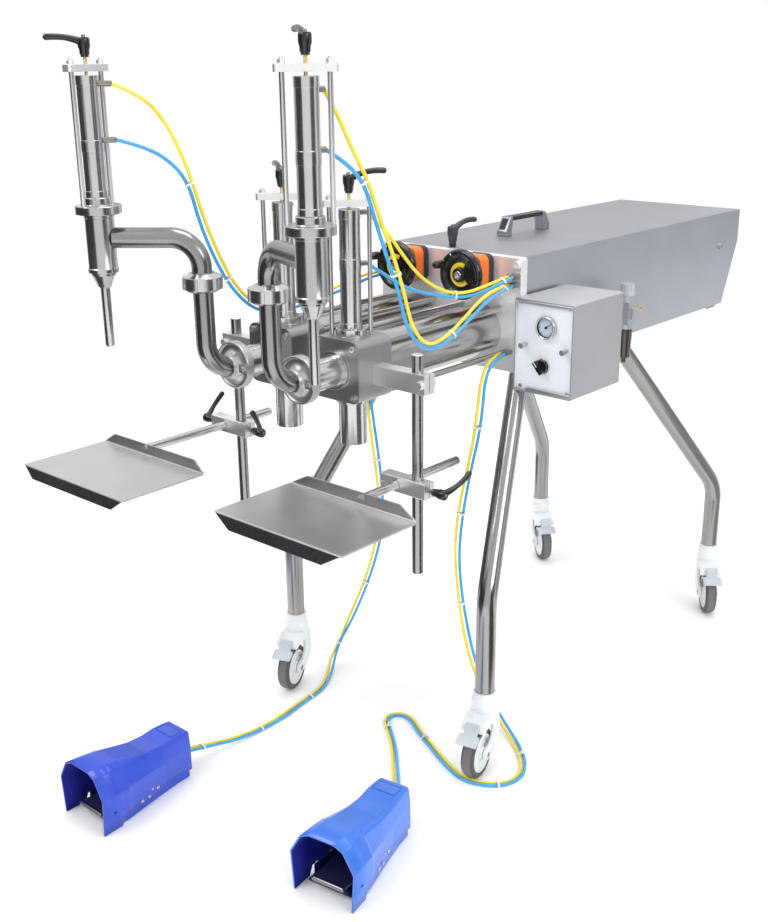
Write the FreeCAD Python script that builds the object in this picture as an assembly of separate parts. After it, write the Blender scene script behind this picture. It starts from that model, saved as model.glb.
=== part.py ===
import FreeCAD, Part
import os
import math

# Twin-head pneumatic filling machine on a castered stand, with two foot pedals.
# Working frame: X across the machine (+X is the control box side), Y from the
# filling heads (-Y) to the rear of the hood (+Y), Z up from the floor.
# SHIFT moves the whole model so that its origin is the middle of its footprint.

V = FreeCAD.Vector

# ---------------------------------------------------------------- dimensions
SHIFT = (12.695, -27.16, 0.0)

PLATE_HALF, PLATE_T, PLATE_Z0, PLATE_Z1 = 175.0, 20.0, 742.0, 964.0
HOOD_HALF, HOOD_Y, HOOD_BREAK_Z = 166.0, 905.0, 888.0
HOOD_FOOT_Y, HOOD_T = 844.0, 3.0
HINGE = (0.0, 842.0, 736.0)

HEAD_X = 81.0              # half spacing of the two filling lines
AXIS_Z = 817.5             # height of the metering cylinders
BARREL_R, BARREL_WALL = 50.0, 4.0
BLOCK_W, BLOCK_Y0, BLOCK_Y1, BLOCK_Z0, BLOCK_Z1 = 110.0, -430.0, -346.0, 763.0, 872.0
OUTLET_R, OUTLET_Y0, FERRULE_R = 28.0, -508.0, 42.0
PIPE_R, PIPE_WALL, PIPE_BEND = 17.0, 2.0, 50.0
PIPE_Y, RUN_Z, UNION_Z0, UNION_Z1, UNION_R = -577.0, 1046.0, 957.0, 985.0, 34.0
HEAD = {"left": (-212.0, -680.0), "right": (237.0, -634.0)}
BAR_AZ = {"left": 102.0, "right": 44.0}
NOZZLE_Z0, NOZZLE_Z1, CONE_Z1, BODY_Z1, FLANGE_Z1, COLLAR_Z1, AIR_Z1 = 862.0, 958.0, 1001.0, 1086.0, 1100.0, 1113.0, 1303.0
NOZZLE_R, BODY_R, FLANGE_R, AIR_R, BORE_R = 8.0, 24.0, 38.0, 18.0, 15.8
BAR_Z, BAR_L, BAR_W, BAR_H, ROD_C, ROD_R = 1314.0, 91.0, 18.0, 11.0, 33.5, 4.0
INLET_Y, INLET_AIR_Z0, INLET_AIR_Z1, INLET_BAR_Z = -388.0, 884.0, 1086.0, 1096.0
STUB_R, STUB_Z0 = 25.0, 678.0

POST_X, POST_Y, POST_R, POST_Z0, POST_Z1 = 226.0, -383.0, 10.0, 463.0, 859.0
ARM_Z0, ARM_Z1 = 794.0, 828.0
CLAMP_Z = {"left": 640.5, "right": 622.7}
ROD_OFF, TRAY_ROD_R = 38.0, 8.0
TRAY = {"left": (-386.0, -93.0, -768.0, -591.0), "right": (20.0, 314.0, -667.0, -489.0)}
TRAY_ROD_END = {"left": -272.0, "right": -226.0}
TRAY_T, LIP_H = 2.5, 36.0

LEG_R, LEG_WALL = 19.0, 2.0
FRONT_LEG = [(160.0, 4.0, 742.0), (260.0, -223.0, 361.0), (260.0, -223.0, 169.0)]
REAR_LEG = [(150.0, 367.0, 742.0), (252.0, 711.0, 323.0), (252.0, 711.0, 169.0)]
WHEEL_R, WHEEL_W, TRAIL = 50.0, 27.0, 33.0
TRAIL_AZ = {"front_left": -69.0, "front_right": -77.0, "rear_left": -40.0, "rear_right": -52.0}

BOX = (175.0, 306.0, -36.0, 135.0, 714.0, 894.0)
PEDAL = {"left": (-179.5, -850.0, 0.6), "right": (296.5, -712.0, 9.5)}
HOSE_R = 3.0

os.makedirs("parts", exist_ok=True)
NODES = {}


# ---------------------------------------------------------------- helpers
def v(p):
    return V(p[0], p[1], p[2])


def cyl(r, p, q):
    a, b = v(p), v(q)
    return Part.makeCylinder(r, (b - a).Length, a, b - a)


def cone(r1, r2, p, q):
    a, b = v(p), v(q)
    return Part.makeCone(r1, r2, (b - a).Length, a, b - a)


def tube(r, w, p, q):
    a, b = v(p), v(q)
    d = (b - a).normalize()
    return cyl(r, p, q).cut(Part.makeCylinder(r - w, (v(q) - v(p)).Length + 2, v(p) - d, d))


def box(x0, x1, y0, y1, z0, z1):
    return Part.makeBox(x1 - x0, y1 - y0, z1 - z0, V(x0, y0, z0))


def rot(s, deg, c, axis=(0, 0, 1)):
    s = s.copy()
    s.rotate(v(c), v(axis), deg)
    return s


def move(s, x, y, z):
    s = s.copy()
    s.translate(V(x, y, z))
    return s


def mirror(s):
    return s.mirror(V(0, 0, 0), V(1, 0, 0))


def fuse(*s):
    r = s[0]
    for t in s[1:]:
        r = r.fuse(t)
    return r.removeSplitter()


def prism(points, d):
    """Closed planar outline swept along the vector d."""
    w = Part.makePolygon([v(p) for p in points] + [v(points[0])])
    return Part.Face(w).extrude(v(d))


def bent(points, radius, r):
    """Round bar along straight runs joined by tangent arcs."""
    rs = radius if isinstance(radius, list) else [radius] * (len(points) - 2)
    edges, start = [], v(points[0])
    for i in range(1, len(points) - 1):
        p, a, b = v(points[i]), v(points[i - 1]), v(points[i + 1])
        u, w = (a - p).normalize(), (b - p).normalize()
        half = math.acos(max(-1.0, min(1.0, u.dot(w)))) / 2
        t = rs[i - 1] / math.tan(half)
        bis = (u + w).normalize()
        mid = p + bis * (rs[i - 1] / math.sin(half) - rs[i - 1])
        s, e = p + u * t, p + w * t
        if (s - start).Length > 1e-6:
            edges.append(Part.LineSegment(start, s).toShape())
        edges.append(Part.Arc(s, mid, e).toShape())
        start = e
    edges.append(Part.LineSegment(start, v(points[-1])).toShape())
    path = Part.Wire(edges)
    d = (v(points[1]) - v(points[0])).normalize()
    prof = Part.Wire([Part.makeCircle(r, v(points[0]), d)])
    s = path.makePipeShell([prof], True, False)
    return s if isinstance(s, Part.Solid) else Part.Solid(s) if s.ShapeType == "Shell" else s, path.Length


def solids(x):
    out = []
    for s in x if isinstance(x, (list, tuple)) else [x]:
        out += s.Solids
    return out


def put(name, *shapes):
    NODES[name] = solids(shapes)


def polar(c, r, deg, z=0.0):
    a = math.radians(deg)
    return (c[0] + r * math.cos(a), c[1] + r * math.sin(a), z)


def rounded_plate(x0, x1, z0, z1, y0, y1, r):
    s = box(x0, x1, y0, y1, z0, z1)
    es = [e for e in s.Edges if abs(e.tangentAt(e.FirstParameter).y) > 0.99]
    return s.makeFillet(r, es)


def rect(x0, x1, y0, y1, z):
    return Part.makePolygon([V(x0, y0, z), V(x1, y0, z), V(x1, y1, z), V(x0, y1, z), V(x0, y0, z)])


def sheet_lip(x0, x1, u0, u1, y0, y1, w0, w1, z0, z1):
    """Sheet edge running from a rectangle at z0 to a shorter one at z1."""
    return Part.makeLoft([rect(x0, x1, y0, y1, z0), rect(u0, u1, w0, w1, z1)], True, True)


def hexagon(c, d, af, h):
    """Hexagonal prism of that width across flats, from c along d."""
    d = v(d).normalize()
    s = Part.makeCylinder(1, 1)
    ring = [V(af / math.sqrt(3) * math.cos(math.radians(60 * i)), af / math.sqrt(3) * math.sin(math.radians(60 * i)), 0) for i in range(7)]
    s = Part.Face(Part.makePolygon(ring)).extrude(V(0, 0, h))
    s.Placement = FreeCAD.Placement(v(c), FreeCAD.Rotation(V(0, 0, 1), d))
    return s


def cap_screw(c, d, r, h, socket=True):
    """Socket head standing on a face at c, pointing along d."""
    d = v(d).normalize()
    s = Part.makeCylinder(r, h, v(c), d)
    if socket:
        s = s.cut(hexagon(v(c) + d * (h * 0.45), d, r, h))
    return s


def clamp_lever(c, axis, az_vec, hub_r, hub_h, arm, drop=0.32):
    """Adjustable lever: a tapered hub along axis from c, and an arm rising towards az_vec."""
    ax = v(axis).normalize()
    hub = cone(hub_r * 0.82, hub_r, c, v(c) + ax * (hub_h * 0.25)).fuse(Part.makeCylinder(hub_r, hub_h * 0.75, v(c) + ax * (hub_h * 0.25), ax))
    out = v(az_vec)
    out = (out - ax * out.dot(ax)).normalize()
    p0 = v(c) + ax * (hub_h * 0.70)
    p1 = p0 + out * (hub_r + arm * 0.25) + ax * (arm * drop * 0.45)
    p2 = p0 + out * (hub_r + arm) + ax * (arm * drop)
    s, _ = bent([p0, p1, p2], arm * 0.5, hub_r * 0.46)
    knob = Part.makeSphere(hub_r * 0.52, p2)
    stud = Part.makeCylinder(hub_r * 0.36, 5.0, v(c) + ax * (hub_h - 1), ax)
    return fuse(hub, s, knob, stud)


# ---------------------------------------------------------------- front plate and bed
plate = rounded_plate(-PLATE_HALF, PLATE_HALF, PLATE_Z0, PLATE_Z1, -PLATE_T, 0.0, 6.0)
for sx in (-1, 1):
    x = sx * HEAD_X
    plate = plate.cut(cyl(10.6, (x, -PLATE_T - 1, AXIS_Z), (x, 1, AXIS_Z)))
    plate = plate.cut(cyl(7.4, (x, -PLATE_T - 1, 933), (x, 1, 933)))
plate = plate.cut(cyl(6.0, (167, -PLATE_T - 1, 952), (167, 1, 952)))
bolt = cyl(6.0, (167, -PLATE_T, 952), (167, 0, 952)).fuse(cap_screw((167, -PLATE_T, 952), (0, -1, 0), 7.5, 8.0))
put("front_plate", plate, bolt.removeSplitter())

bed = box(-162.5, 162.5, 0.0, 836.0, 742.0, 746.0)
bed = fuse(bed, box(-162.5, -159.5, 0.0, 836.0, 746.0, 776.0), box(159.5, 162.5, 0.0, 836.0, 746.0, 776.0))
for y in (60.0, 330.0, 560.0):
    bed = bed.fuse(box(-159.5, 159.5, y, y + 24, 746.0, 771.0))
# hinge at the rear end: three lugs and one pin on the bed, two knuckles on the hood
hy, hz = HINGE[1], HINGE[2]
for x0, x1 in ((-150.0, -128.0), (-11.0, 11.0), (128.0, 150.0)):
    bed = fuse(bed, cyl(5.0, (x0, hy, hz), (x1, hy, hz)), box(x0, x1, 808.0, hy, hz - 5, hz + 5), box(x0, x1, 808.0, 832.0, hz + 4, 742.5))
bed = fuse(bed, cyl(2.5, (-152, hy, hz), (152, hy, hz)))
put("bed_frame", bed)

# ---------------------------------------------------------------- legs
def leg(pts, bend):
    s, _ = bent(pts, bend, LEG_R)
    # the upper end is cut level under the bed
    top = box(-600, 600, -700, 1200, 742.0, 1200)
    d = (v(pts[0]) - v(pts[1])).normalize() * 40
    p = list(pts)
    p[0] = tuple(v(pts[0]) + d)
    s, _ = bent(p, bend, LEG_R)
    q, _ = bent(p, bend, LEG_R - LEG_WALL)
    return s.cut(top).cut(q)


for name, pts, bend in (("front_legs", FRONT_LEG, 95.0), ("rear_legs", REAR_LEG, 95.0)):
    one = leg(pts, bend)
    put(name, one, mirror(one))

# ---------------------------------------------------------------- metering cylinders and drives
met = []
for sx in (-1, 1):
    x = sx * HEAD_X
    met.append(tube(BARREL_R, BARREL_WALL, (x, BLOCK_Y1, AXIS_Z), (x, -PLATE_T, AXIS_Z)))
    drive = tube(40.0, 3.5, (x, 84.0, AXIS_Z), (x, 330.0, AXIS_Z))
    head = cyl(40.0, (x, 354.0, AXIS_Z), (x, 330.0, AXIS_Z))
    nose = rounded_plate(x - 42, x + 42, AXIS_Z - 42, AXIS_Z + 42, 60.0, 84.0, 8.0).cut(cyl(10.6, (x, 59, AXIS_Z), (x, 85, AXIS_Z)))
    met += [fuse(drive, head, nose)]
    for dx in (-1, 1):
        for dz in (-1, 1):
            cx, cz = x + dx * 45.0, AXIS_Z + dz * 45.0
            met.append(cyl(6.0, (cx, BLOCK_Y1, cz), (cx, -PLATE_T, cz)))
put("metering_cylinders", *met)

for side, sx in (("left", -1), ("right", 1)):
    x = sx * HEAD_X
    rod = cyl(10.0, (x, -60.0, AXIS_Z), (x, 300.0, AXIS_Z))
    face = cyl(45.6, (x, -74.0, AXIS_Z), (x, -46.0, AXIS_Z))
    tail = cyl(36.1, (x, 296.0, AXIS_Z), (x, 316.0, AXIS_Z))
    put("metering_piston_" + side, fuse(rod, face, tail))

# ---------------------------------------------------------------- valve bodies: block, outlet tube and inlet stub in one weldment
vb = []
for sx in (-1, 1):
    x = sx * HEAD_X
    b = rounded_plate(x - BLOCK_W / 2, x + BLOCK_W / 2, BLOCK_Z0, BLOCK_Z1, BLOCK_Y0, BLOCK_Y1, 16.0)
    out = cyl(OUTLET_R, (x, OUTLET_Y0, AXIS_Z), (x, BLOCK_Y0 + 1, AXIS_Z))
    ring = cyl(OUTLET_R + 6, (x, BLOCK_Y0 - 8, AXIS_Z), (x, BLOCK_Y0 + 1, AXIS_Z))
    stub = cyl(STUB_R, (x, INLET_Y, STUB_Z0), (x, INLET_Y, BLOCK_Z0 + 1))
    collar = cyl(STUB_R + 4, (x, INLET_Y, BLOCK_Z0 - 10), (x, INLET_Y, BLOCK_Z0 + 1))
    base = cyl(27.0, (x, INLET_Y, BLOCK_Z1 - 1), (x, INLET_Y, INLET_AIR_Z0))
    s = fuse(b, out, ring, stub, collar, base)
    s = s.cut(cyl(OUTLET_R - 3, (x, OUTLET_Y0 - 1, AXIS_Z), (x, BLOCK_Y0 + 20, AXIS_Z)))
    s = s.cut(cyl(STUB_R - 3, (x, INLET_Y, STUB_Z0 - 1), (x, INLET_Y, BLOCK_Z0 + 30)))
    s = s.cut(cyl(18.0, (x, BLOCK_Y0 + 19, AXIS_Z), (x, BLOCK_Y1 + 1, AXIS_Z)))
    s = s.cut(cyl(18.0, (x, INLET_Y, BLOCK_Z0 + 29), (x, INLET_Y, BLOCK_Z1 - 16)))
    for i in range(4):
        a = 45 + 90 * i
        s = s.fuse(cap_screw(polar((x, INLET_Y), 21.5, a, INLET_AIR_Z0 - 0.01), (0, 0, 1), 2.6, 3.6))
    for dx in (-1, 1):
        for dz in (-1, 1):
            s = s.fuse(cap_screw((x + dx * 44, BLOCK_Y0 + 0.01, AXIS_Z + dz * 43), (0, -1, 0), 5.0, 6.0))
    vb.append(s)
put("valve_bodies", *vb)

# ---------------------------------------------------------------- delivery pipes, ferrule clamps and union nuts
dp = []
for side, sx in (("left", -1), ("right", 1)):
    x, h = sx * HEAD_X, HEAD[side]
    d = V(h[0] - x, h[1] - PIPE_Y, 0)
    L = d.Length
    d.normalize()
    end = (x + d.x * (L - BODY_R + 2), PIPE_Y + d.y * (L - BODY_R + 2), RUN_Z)
    pts = [(x, OUTLET_Y0 - 12, AXIS_Z), (x, PIPE_Y, AXIS_Z), (x, PIPE_Y, RUN_Z), end]
    o, _ = bent(pts, PIPE_BEND, PIPE_R)
    i, _ = bent(pts, PIPE_BEND, PIPE_R - PIPE_WALL)
    dp.append(o.cut(i).cut(cyl(BODY_R + 0.02, (h[0], h[1], RUN_Z - 40), (h[0], h[1], RUN_Z + 40))))
    # the outlet clamp: a ring that flares smoothly out of the pipe, with a rolled lip and a small screwed block at its side
    y0 = OUTLET_Y0 - 12
    arc = [V(x + 37 - 20 * math.cos(math.radians(q)), y0 - 20 + 20 * math.sin(math.radians(q)), AXIS_Z) for q in (20, 55, 90)]
    back = [arc[2], V(x + FERRULE_R, y0, AXIS_Z), V(x + FERRULE_R, OUTLET_Y0, AXIS_Z), V(x + PIPE_R - PIPE_WALL, OUTLET_Y0, AXIS_Z), V(x + PIPE_R - PIPE_WALL, arc[0].y, AXIS_Z), arc[0]]
    wire = Part.Wire([Part.Arc(*arc).toShape()] + [Part.makeLine(m, n) for m, n in zip(back, back[1:])])
    c = Part.Face(wire).revolve(V(x, 0, AXIS_Z), V(0, 1, 0), 360)
    c = c.fuse(Part.makeTorus(FERRULE_R - 3, 3.0, V(x, y0, AXIS_Z), V(0, 1, 0)))
    c = fuse(c, box(x + 27, x + 45, y0 - 11, y0 + 6, AXIS_Z - 7, AXIS_Z + 8), cap_screw((x + 37, y0 - 10.99, AXIS_Z + 0.5), (0, -1, 0), 4.5, 4.0))
    c = c.cut(bent(pts, PIPE_BEND, PIPE_R + 0.02)[0]).cut(cyl(PIPE_R - PIPE_WALL, (x, y0 - 1, AXIS_Z), (x, OUTLET_Y0 + 1, AXIS_Z)))
    dp.append(c)
    n = cyl(UNION_R, (x, PIPE_Y, UNION_Z0 + 5), (x, PIPE_Y, UNION_Z1 - 3))
    n = fuse(n, cone(UNION_R - 9, UNION_R - 1, (x, PIPE_Y, UNION_Z0), (x, PIPE_Y, UNION_Z0 + 5)), cone(UNION_R - 1, UNION_R - 12, (x, PIPE_Y, UNION_Z1 - 3), (x, PIPE_Y, UNION_Z1 + 3)))
    for k in range(4):
        a = 45 + 90 * k
        slot = rot(box(UNION_R - 3.2, UNION_R + 2, -6, 6, UNION_Z0 + 4, UNION_Z1 + 4), a, (0, 0, 0))
        n = n.cut(move(slot, x, PIPE_Y, 0))
    dp.append(n.cut(cyl(PIPE_R + 0.02, (x, PIPE_Y, UNION_Z0 - 5), (x, PIPE_Y, UNION_Z1 + 5))))
put("delivery_pipes", *dp)

# ---------------------------------------------------------------- nozzle bodies
nb = []
for side in ("left", "right"):
    hx, hy = HEAD[side]
    z = lambda a, b, r: cyl(r, (hx, hy, a), (hx, hy, b))
    s = fuse(z(NOZZLE_Z0 + 3, NOZZLE_Z1 + 1, NOZZLE_R), cone(6.9, NOZZLE_R, (hx, hy, NOZZLE_Z0), (hx, hy, NOZZLE_Z0 + 3)), cone(11.5, 18.5, (hx, hy, NOZZLE_Z1), (hx, hy, CONE_Z1 - 6)), z(CONE_Z1 - 6.01, CONE_Z1, 20.0), z(CONE_Z1 - 0.01, BODY_Z1, BODY_R), z(CONE_Z1 + 2, CONE_Z1 + 9, BODY_R + 1.2), z(BODY_Z1, FLANGE_Z1, FLANGE_R), z(FLANGE_Z1 - 0.01, COLLAR_Z1, 22.0))
    s = s.cut(z(NOZZLE_Z0 - 1, NOZZLE_Z1 + 8, 6.4)).cut(z(CONE_Z1 + 1, BODY_Z1 - 6, BODY_R - 3.0)).cut(z(BODY_Z1 - 7, COLLAR_Z1 + 1, 4.3))
    s = s.cut(cone(6.4, 14.5, (hx, hy, NOZZLE_Z1 + 7), (hx, hy, CONE_Z1 + 1.01)))
    c, d = V(hx, hy, RUN_Z), V((-1 if side == "left" else 1) * HEAD_X - hx, PIPE_Y - hy, 0).normalize()
    s = s.cut(Part.makeCylinder(PIPE_R - PIPE_WALL, 40, c, d))
    nb.append(s)
put("nozzle_bodies", *nb)

for side in ("left", "right"):
    hx, hy = HEAD[side]
    z = lambda a, b, r: cyl(r, (hx, hy, a), (hx, hy, b))
    put("cut_off_plunger_" + side, fuse(z(NOZZLE_Z0 + 3, 1220.0, 4.0), z(NOZZLE_Z0 + 2, NOZZLE_Z0 + 16, 5.6), z(1180.0, 1192.0, BORE_R - 0.35)))

# ---------------------------------------------------------------- air actuators: filling heads and inlet valves
def actuator(cx, cy, z0, z1, band):
    z = lambda a, b, r: cyl(r, (cx, cy, a), (cx, cy, b))
    s = fuse(z(z0, z1, AIR_R), z(z1 - 15, z1, AIR_R + 0.7), z(band, band + 19, AIR_R + 0.8), z(z0, z0 + 10, AIR_R + 0.7))
    return s.cut(z(z0 - 1, z1 - 8, BORE_R)).cut(z(z1 - 9, z1 + 1, 3.4))


ports = {}
aa = []
for side, sx in (("left", -1), ("right", 1)):
    hx, hy = HEAD[side]
    aa.append(actuator(hx, hy, COLLAR_Z1, AIR_Z1, 1184.0))
    aa.append(actuator(sx * HEAD_X, INLET_Y, INLET_AIR_Z0, INLET_AIR_Z1, 985.0))
put("air_actuators", *aa)

# ---------------------------------------------------------------- stop frames: crossbar, tie rods and nuts of each actuator
sf = []
for side, sx in (("left", -1), ("right", 1)):
    for cx, cy, az, zb, zbar in ((HEAD[side][0], HEAD[side][1], BAR_AZ[side], FLANGE_Z1, BAR_Z), (sx * HEAD_X, INLET_Y, 44.0, BLOCK_Z1, INLET_BAR_Z)):
        bar = box(-BAR_L / 2, BAR_L / 2, -BAR_W / 2, BAR_W / 2, -BAR_H / 2, BAR_H / 2)
        es = [e for e in bar.Edges if abs(e.tangentAt(e.FirstParameter).z) > 0.99]
        bar = bar.makeFillet(5.0, es).cut(cyl(3.3, (0, 0, -20), (0, 0, 20)))
        for k in (-1, 1):
            bar = bar.cut(cyl(ROD_R - 0.95, (k * ROD_C, 0, -20), (k * ROD_C, 0, 20)))
        sf.append(move(rot(bar, az, (0, 0, 0)), cx, cy, zbar))
        for k in (-1, 1):
            px, py, _ = polar((cx, cy), k * ROD_C, az)
            r = cyl(ROD_R, (px, py, zb), (px, py, zbar - BAR_H / 2)).fuse(cyl(ROD_R - 1, (px, py, zbar - BAR_H / 2 - 0.5), (px, py, zbar + BAR_H / 2 + 9)))
            sf.append(r.removeSplitter())
            nut = hexagon((px, py, zbar + BAR_H / 2), (0, 0, 1), 10.0, 6.0).cut(cyl(ROD_R - 0.99, (px, py, zbar), (px, py, zbar + 30)))
            sf.append(nut)
put("stop_frames", *sf)

LEVERS = {}
for side, sx, tip, arm, drop in (("left", -1, (-0.57, -0.82, 0), 48.0, 0.20), ("right", 1, (-0.848, 0.53, 0), 52.0, 0.2769)):
    hx, hy = HEAD[side]
    hub = clamp_lever((hx, hy, BAR_Z + 16), (0, 0, 1), tip, 9.0, 30.0, arm, drop)
    stud = cyl(3.0, (hx, hy, AIR_Z1 - 14), (hx, hy, BAR_Z + 16))
    put("stroke_lever_" + side, hub, stud)
for side, sx, tip, arm, drop in (("left", -1, (-0.829, 0.559, 0), 52.0, 0.28), ("right", 1, (0.53, 0.848, 0), 52.0, 0.26)):
    x = sx * HEAD_X
    hub = clamp_lever((x, INLET_Y, INLET_BAR_Z + 16), (0, 0, 1), tip, 9.0, 30.0, arm, drop)
    stud = cyl(3.0, (x, INLET_Y, INLET_AIR_Z1 - 14), (x, INLET_Y, INLET_BAR_Z + 16))
    put("inlet_lever_" + side, hub, stud)

# ---------------------------------------------------------------- posts, arms, clamps, trays
pb = []
for sx in (-1, 1):
    x = sx * POST_X
    x0, x1 = HEAD_X + BLOCK_W / 2, POST_X + 26
    a = box(x0, x1, POST_Y - 13, POST_Y + 13, ARM_Z0, ARM_Z1)
    a = a.cut(cyl(POST_R + 0.02, (POST_X, POST_Y, ARM_Z0 - 1), (POST_X, POST_Y, ARM_Z1 + 1)))
    a = a.cut(box(POST_X + 9, x1 + 1, POST_Y - 1.2, POST_Y + 1.2, ARM_Z0 - 1, ARM_Z1 + 1))
    bolt = cyl(4.0, (POST_X + 18, POST_Y - 15, ARM_Z0 + 17), (POST_X + 18, POST_Y + 22, ARM_Z0 + 17))
    a = a.cut(cyl(4.02, (POST_X + 18, POST_Y - 20, ARM_Z0 + 17), (POST_X + 18, POST_Y + 25, ARM_Z0 + 17)))
    bolt = fuse(bolt, hexagon((POST_X + 18, POST_Y - 13, ARM_Z0 + 17), (0, -1, 0), 13.0, 7.0), hexagon((POST_X + 18, POST_Y + 13, ARM_Z0 + 17), (0, 1, 0), 13.0, 6.5))
    p = cyl(POST_R, (POST_X, POST_Y, POST_Z0), (POST_X, POST_Y, POST_Z1))
    es = [e for e in p.Edges if len(e.Vertexes) == 1]
    p = p.makeChamfer(1.0, es)
    for s in (a, bolt, p):
        pb.append(s if sx > 0 else mirror(s))
put("post_brackets", *pb)

for side, sx in (("left", -1), ("right", 1)):
    px, z = sx * POST_X, CLAMP_Z[side]
    rx = px - ROD_OFF
    c = box(px - 74, px + 26, POST_Y - 13, POST_Y + 13, z - 15, z + 15)
    c = c.makeFillet(2.5, [e for e in c.Edges if abs(e.tangentAt(e.FirstParameter).x) > 0.99])
    c = c.cut(cyl(POST_R + 0.3, (px, POST_Y, z - 20), (px, POST_Y, z + 20)))
    c = c.cut(box(px + 9, px + 27, POST_Y - 1.0, POST_Y + 1.0, z - 16, z + 16))
    c = c.cut(cyl(TRAY_ROD_R + 0.3, (rx, POST_Y - 20, z), (rx, POST_Y + 20, z)))
    c = c.cut(box(px - 75, rx - 7, POST_Y - 14, POST_Y + 14, z - 1.0, z + 1.0))
    put("cross_clamp_" + side, c)
    # clamp lever of the post, on the outer end
    lv = clamp_lever((px + 34, POST_Y, z), (1, 0, 0), (0, 0.91, 0.41) if side == "right" else (0, -0.5, 0.866), 8.5, 28.0, 54.0 if side == "right" else 48.0, 0.26)
    stud = cyl(3.5, (px + 26.3, POST_Y, z), (px + 34, POST_Y, z))
    put("post_lever_" + side, fuse(lv, stud))
    if side == "left":
        lv = clamp_lever((px - 82, POST_Y, z), (-1, 0, 0), (0, 0.77, 0.64), 8.5, 26.0, 52.0, 0.14)
        stud = cyl(3.5, (px - 74.3, POST_Y, z), (px - 82, POST_Y, z))
        put("rod_lever_left", fuse(lv, stud))

    x0, x1, y0, y1 = TRAY[side]
    tz = z - TRAY_ROD_R - TRAY_T / 2          # tray floor, top face
    t = TRAY_T
    flat = box(x0, x1, y0, y1, tz - t, tz)
    m = 30.0
    back = sheet_lip(x0, x1, x0 + m, x1 - m, y1 - t, y1, y1 - t + 5, y1 + 5, tz - t, tz + 26)
    front = sheet_lip(x0, x1, x0 + m, x1 - m, y0, y0 + t, y0 - 7, y0 - 7 + t, tz, tz - LIP_H)
    rod = cyl(TRAY_ROD_R, (rx, y1 - 1.0, z), (rx, TRAY_ROD_END[side], z))
    put("tray_" + side, fuse(flat, back, front, rod))

# ---------------------------------------------------------------- handwheels, lead screws and position indicators
pi = []
for side, sx in (("left", -1), ("right", 1)):
    x, z = sx * HEAD_X, 933.0
    rim = Part.makeTorus(35.0, 8.0, V(x, -82.0, z), V(0, 1, 0))
    disc = cyl(33.0, (x, -88.0, z), (x, -76.0, z)).cut(cyl(24.0, (x, -90.0, z), (x, -84.0, z)))
    hub = cyl(13.0, (x, -94.0, z), (x, -70.0, z))
    grip = fuse(cyl(4.0, (x - 30, -88, z + 14), (x - 30, -96, z + 14)), cyl(7.0, (x - 30, -122, z + 14), (x - 30, -96, z + 14)))
    spindle = cyl(7.0, (x, -72.0, z), (x, 250.0, z))
    put("handwheel_" + side, fuse(rim, disc, hub, grip, spindle))
    body = rounded_plate(x - 30, x + 30, z - 34, z + 34, -62.0, -20.0, 14.0)
    nose = cyl(27.0, (x, -66.0, z), (x, -61.0, z))
    pi.append(fuse(body, nose).cut(cyl(7.4, (x, -70, z), (x, -19, z))))
put("position_indicators", *pi)

# ---------------------------------------------------------------- hood, handle and lever
yz = [(0.5, 742), (HOOD_FOOT_Y, 742), (HOOD_Y, HOOD_BREAK_Z), (HOOD_Y, 963), (0.5, 963)]
outer = prism([(-HOOD_HALF, y, z) for y, z in yz], (2 * HOOD_HALF, 0, 0))
t = HOOD_T
slope = (HOOD_Y - HOOD_FOOT_Y) / (HOOD_BREAK_Z - 742)
off = t * math.sqrt(1 + slope * slope)
yz = [(0.0, 741), (HOOD_FOOT_Y - off - slope, 741), (HOOD_Y - t, HOOD_BREAK_Z + (off - t) / slope), (HOOD_Y - t, 963 - t), (0.0, 963 - t)]
inner = prism([(-HOOD_HALF + t, y, z) for y, z in yz], (2 * (HOOD_HALF - t), 0, 0))
hood = outer.cut(inner)
hy, hz = HINGE[1], HINGE[2]
for x0, x1 in ((-127.4, -11.6), (11.6, 127.4)):
    k = fuse(cyl(5.0, (x0, hy, hz), (x1, hy, hz)), box(x0, x1, hy - 0.8, hy + 2.4, hz, 744.0))
    hood = hood.fuse(k.cut(cyl(2.58, (x0 - 1, hy, hz), (x1 + 1, hy, hz))))
for sx in (-1, 1):
    hood = hood.fuse(cap_screw((sx * (HOOD_HALF - 0.01), 813.0, 885.0), (sx, 0, 0), 8.0, 5.0))
hood = hood.removeSplitter()
put("hood_cover", hood)
hx = -25.0
hb = prism([(hx - 12, y, z) for y, z in ((188, 963), (188, 974), (205, 1003), (333, 1003), (350, 974), (350, 963), (328, 963), (325, 994), (213, 994), (210, 963))], (24, 0, 0))
for s in (-1, 1):
    hb = hb.cut(box(min(hx + s * 11, hx + s * 14), max(hx + s * 11, hx + s * 14), 214, 324, 990, 1010))
put("hood_handle", hb)
put("hood_lever", fuse(clamp_lever((-25, 24, 969), (0, 0, 1), (0.105, 0.995, 0), 10.0, 34.0, 52.0, 0.34), cyl(5.0, (-25, 24, 963), (-25, 24, 969.5))))

# ---------------------------------------------------------------- control box
bx0, bx1, by0, by1, bz0, bz1 = BOX
case = box(bx0, bx1, by0, by1, bz0, bz1)
case = case.makeFillet(3.0, [e for e in case.Edges if abs(e.tangentAt(e.FirstParameter).y) > 0.99])
case = case.cut(box(bx0 + 3, bx1 - 3, by0 - 1, by1 - 3, bz0 + 3, bz1 - 3))
py = by0 + 6.0
panel = box(bx0 + 3, bx1 - 3, py, py + 3, bz0 + 3, bz1 - 3)
gx, gz = 245.0, 845.0
sx_, sz_ = 238.0, 769.0
knobs = {"left": (198.0, 806.0), "right": (290.0, 806.0)}
panel = panel.cut(cyl(17.02, (gx, py - 1, gz), (gx, py + 4, gz))).cut(cyl(4.5, (sx_, py - 1, sz_), (sx_, py + 4, sz_)))
for k in knobs.values():
    panel = panel.cut(cyl(3.4, (k[0], py - 1, k[1]), (k[0], py + 4, k[1])))
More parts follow.
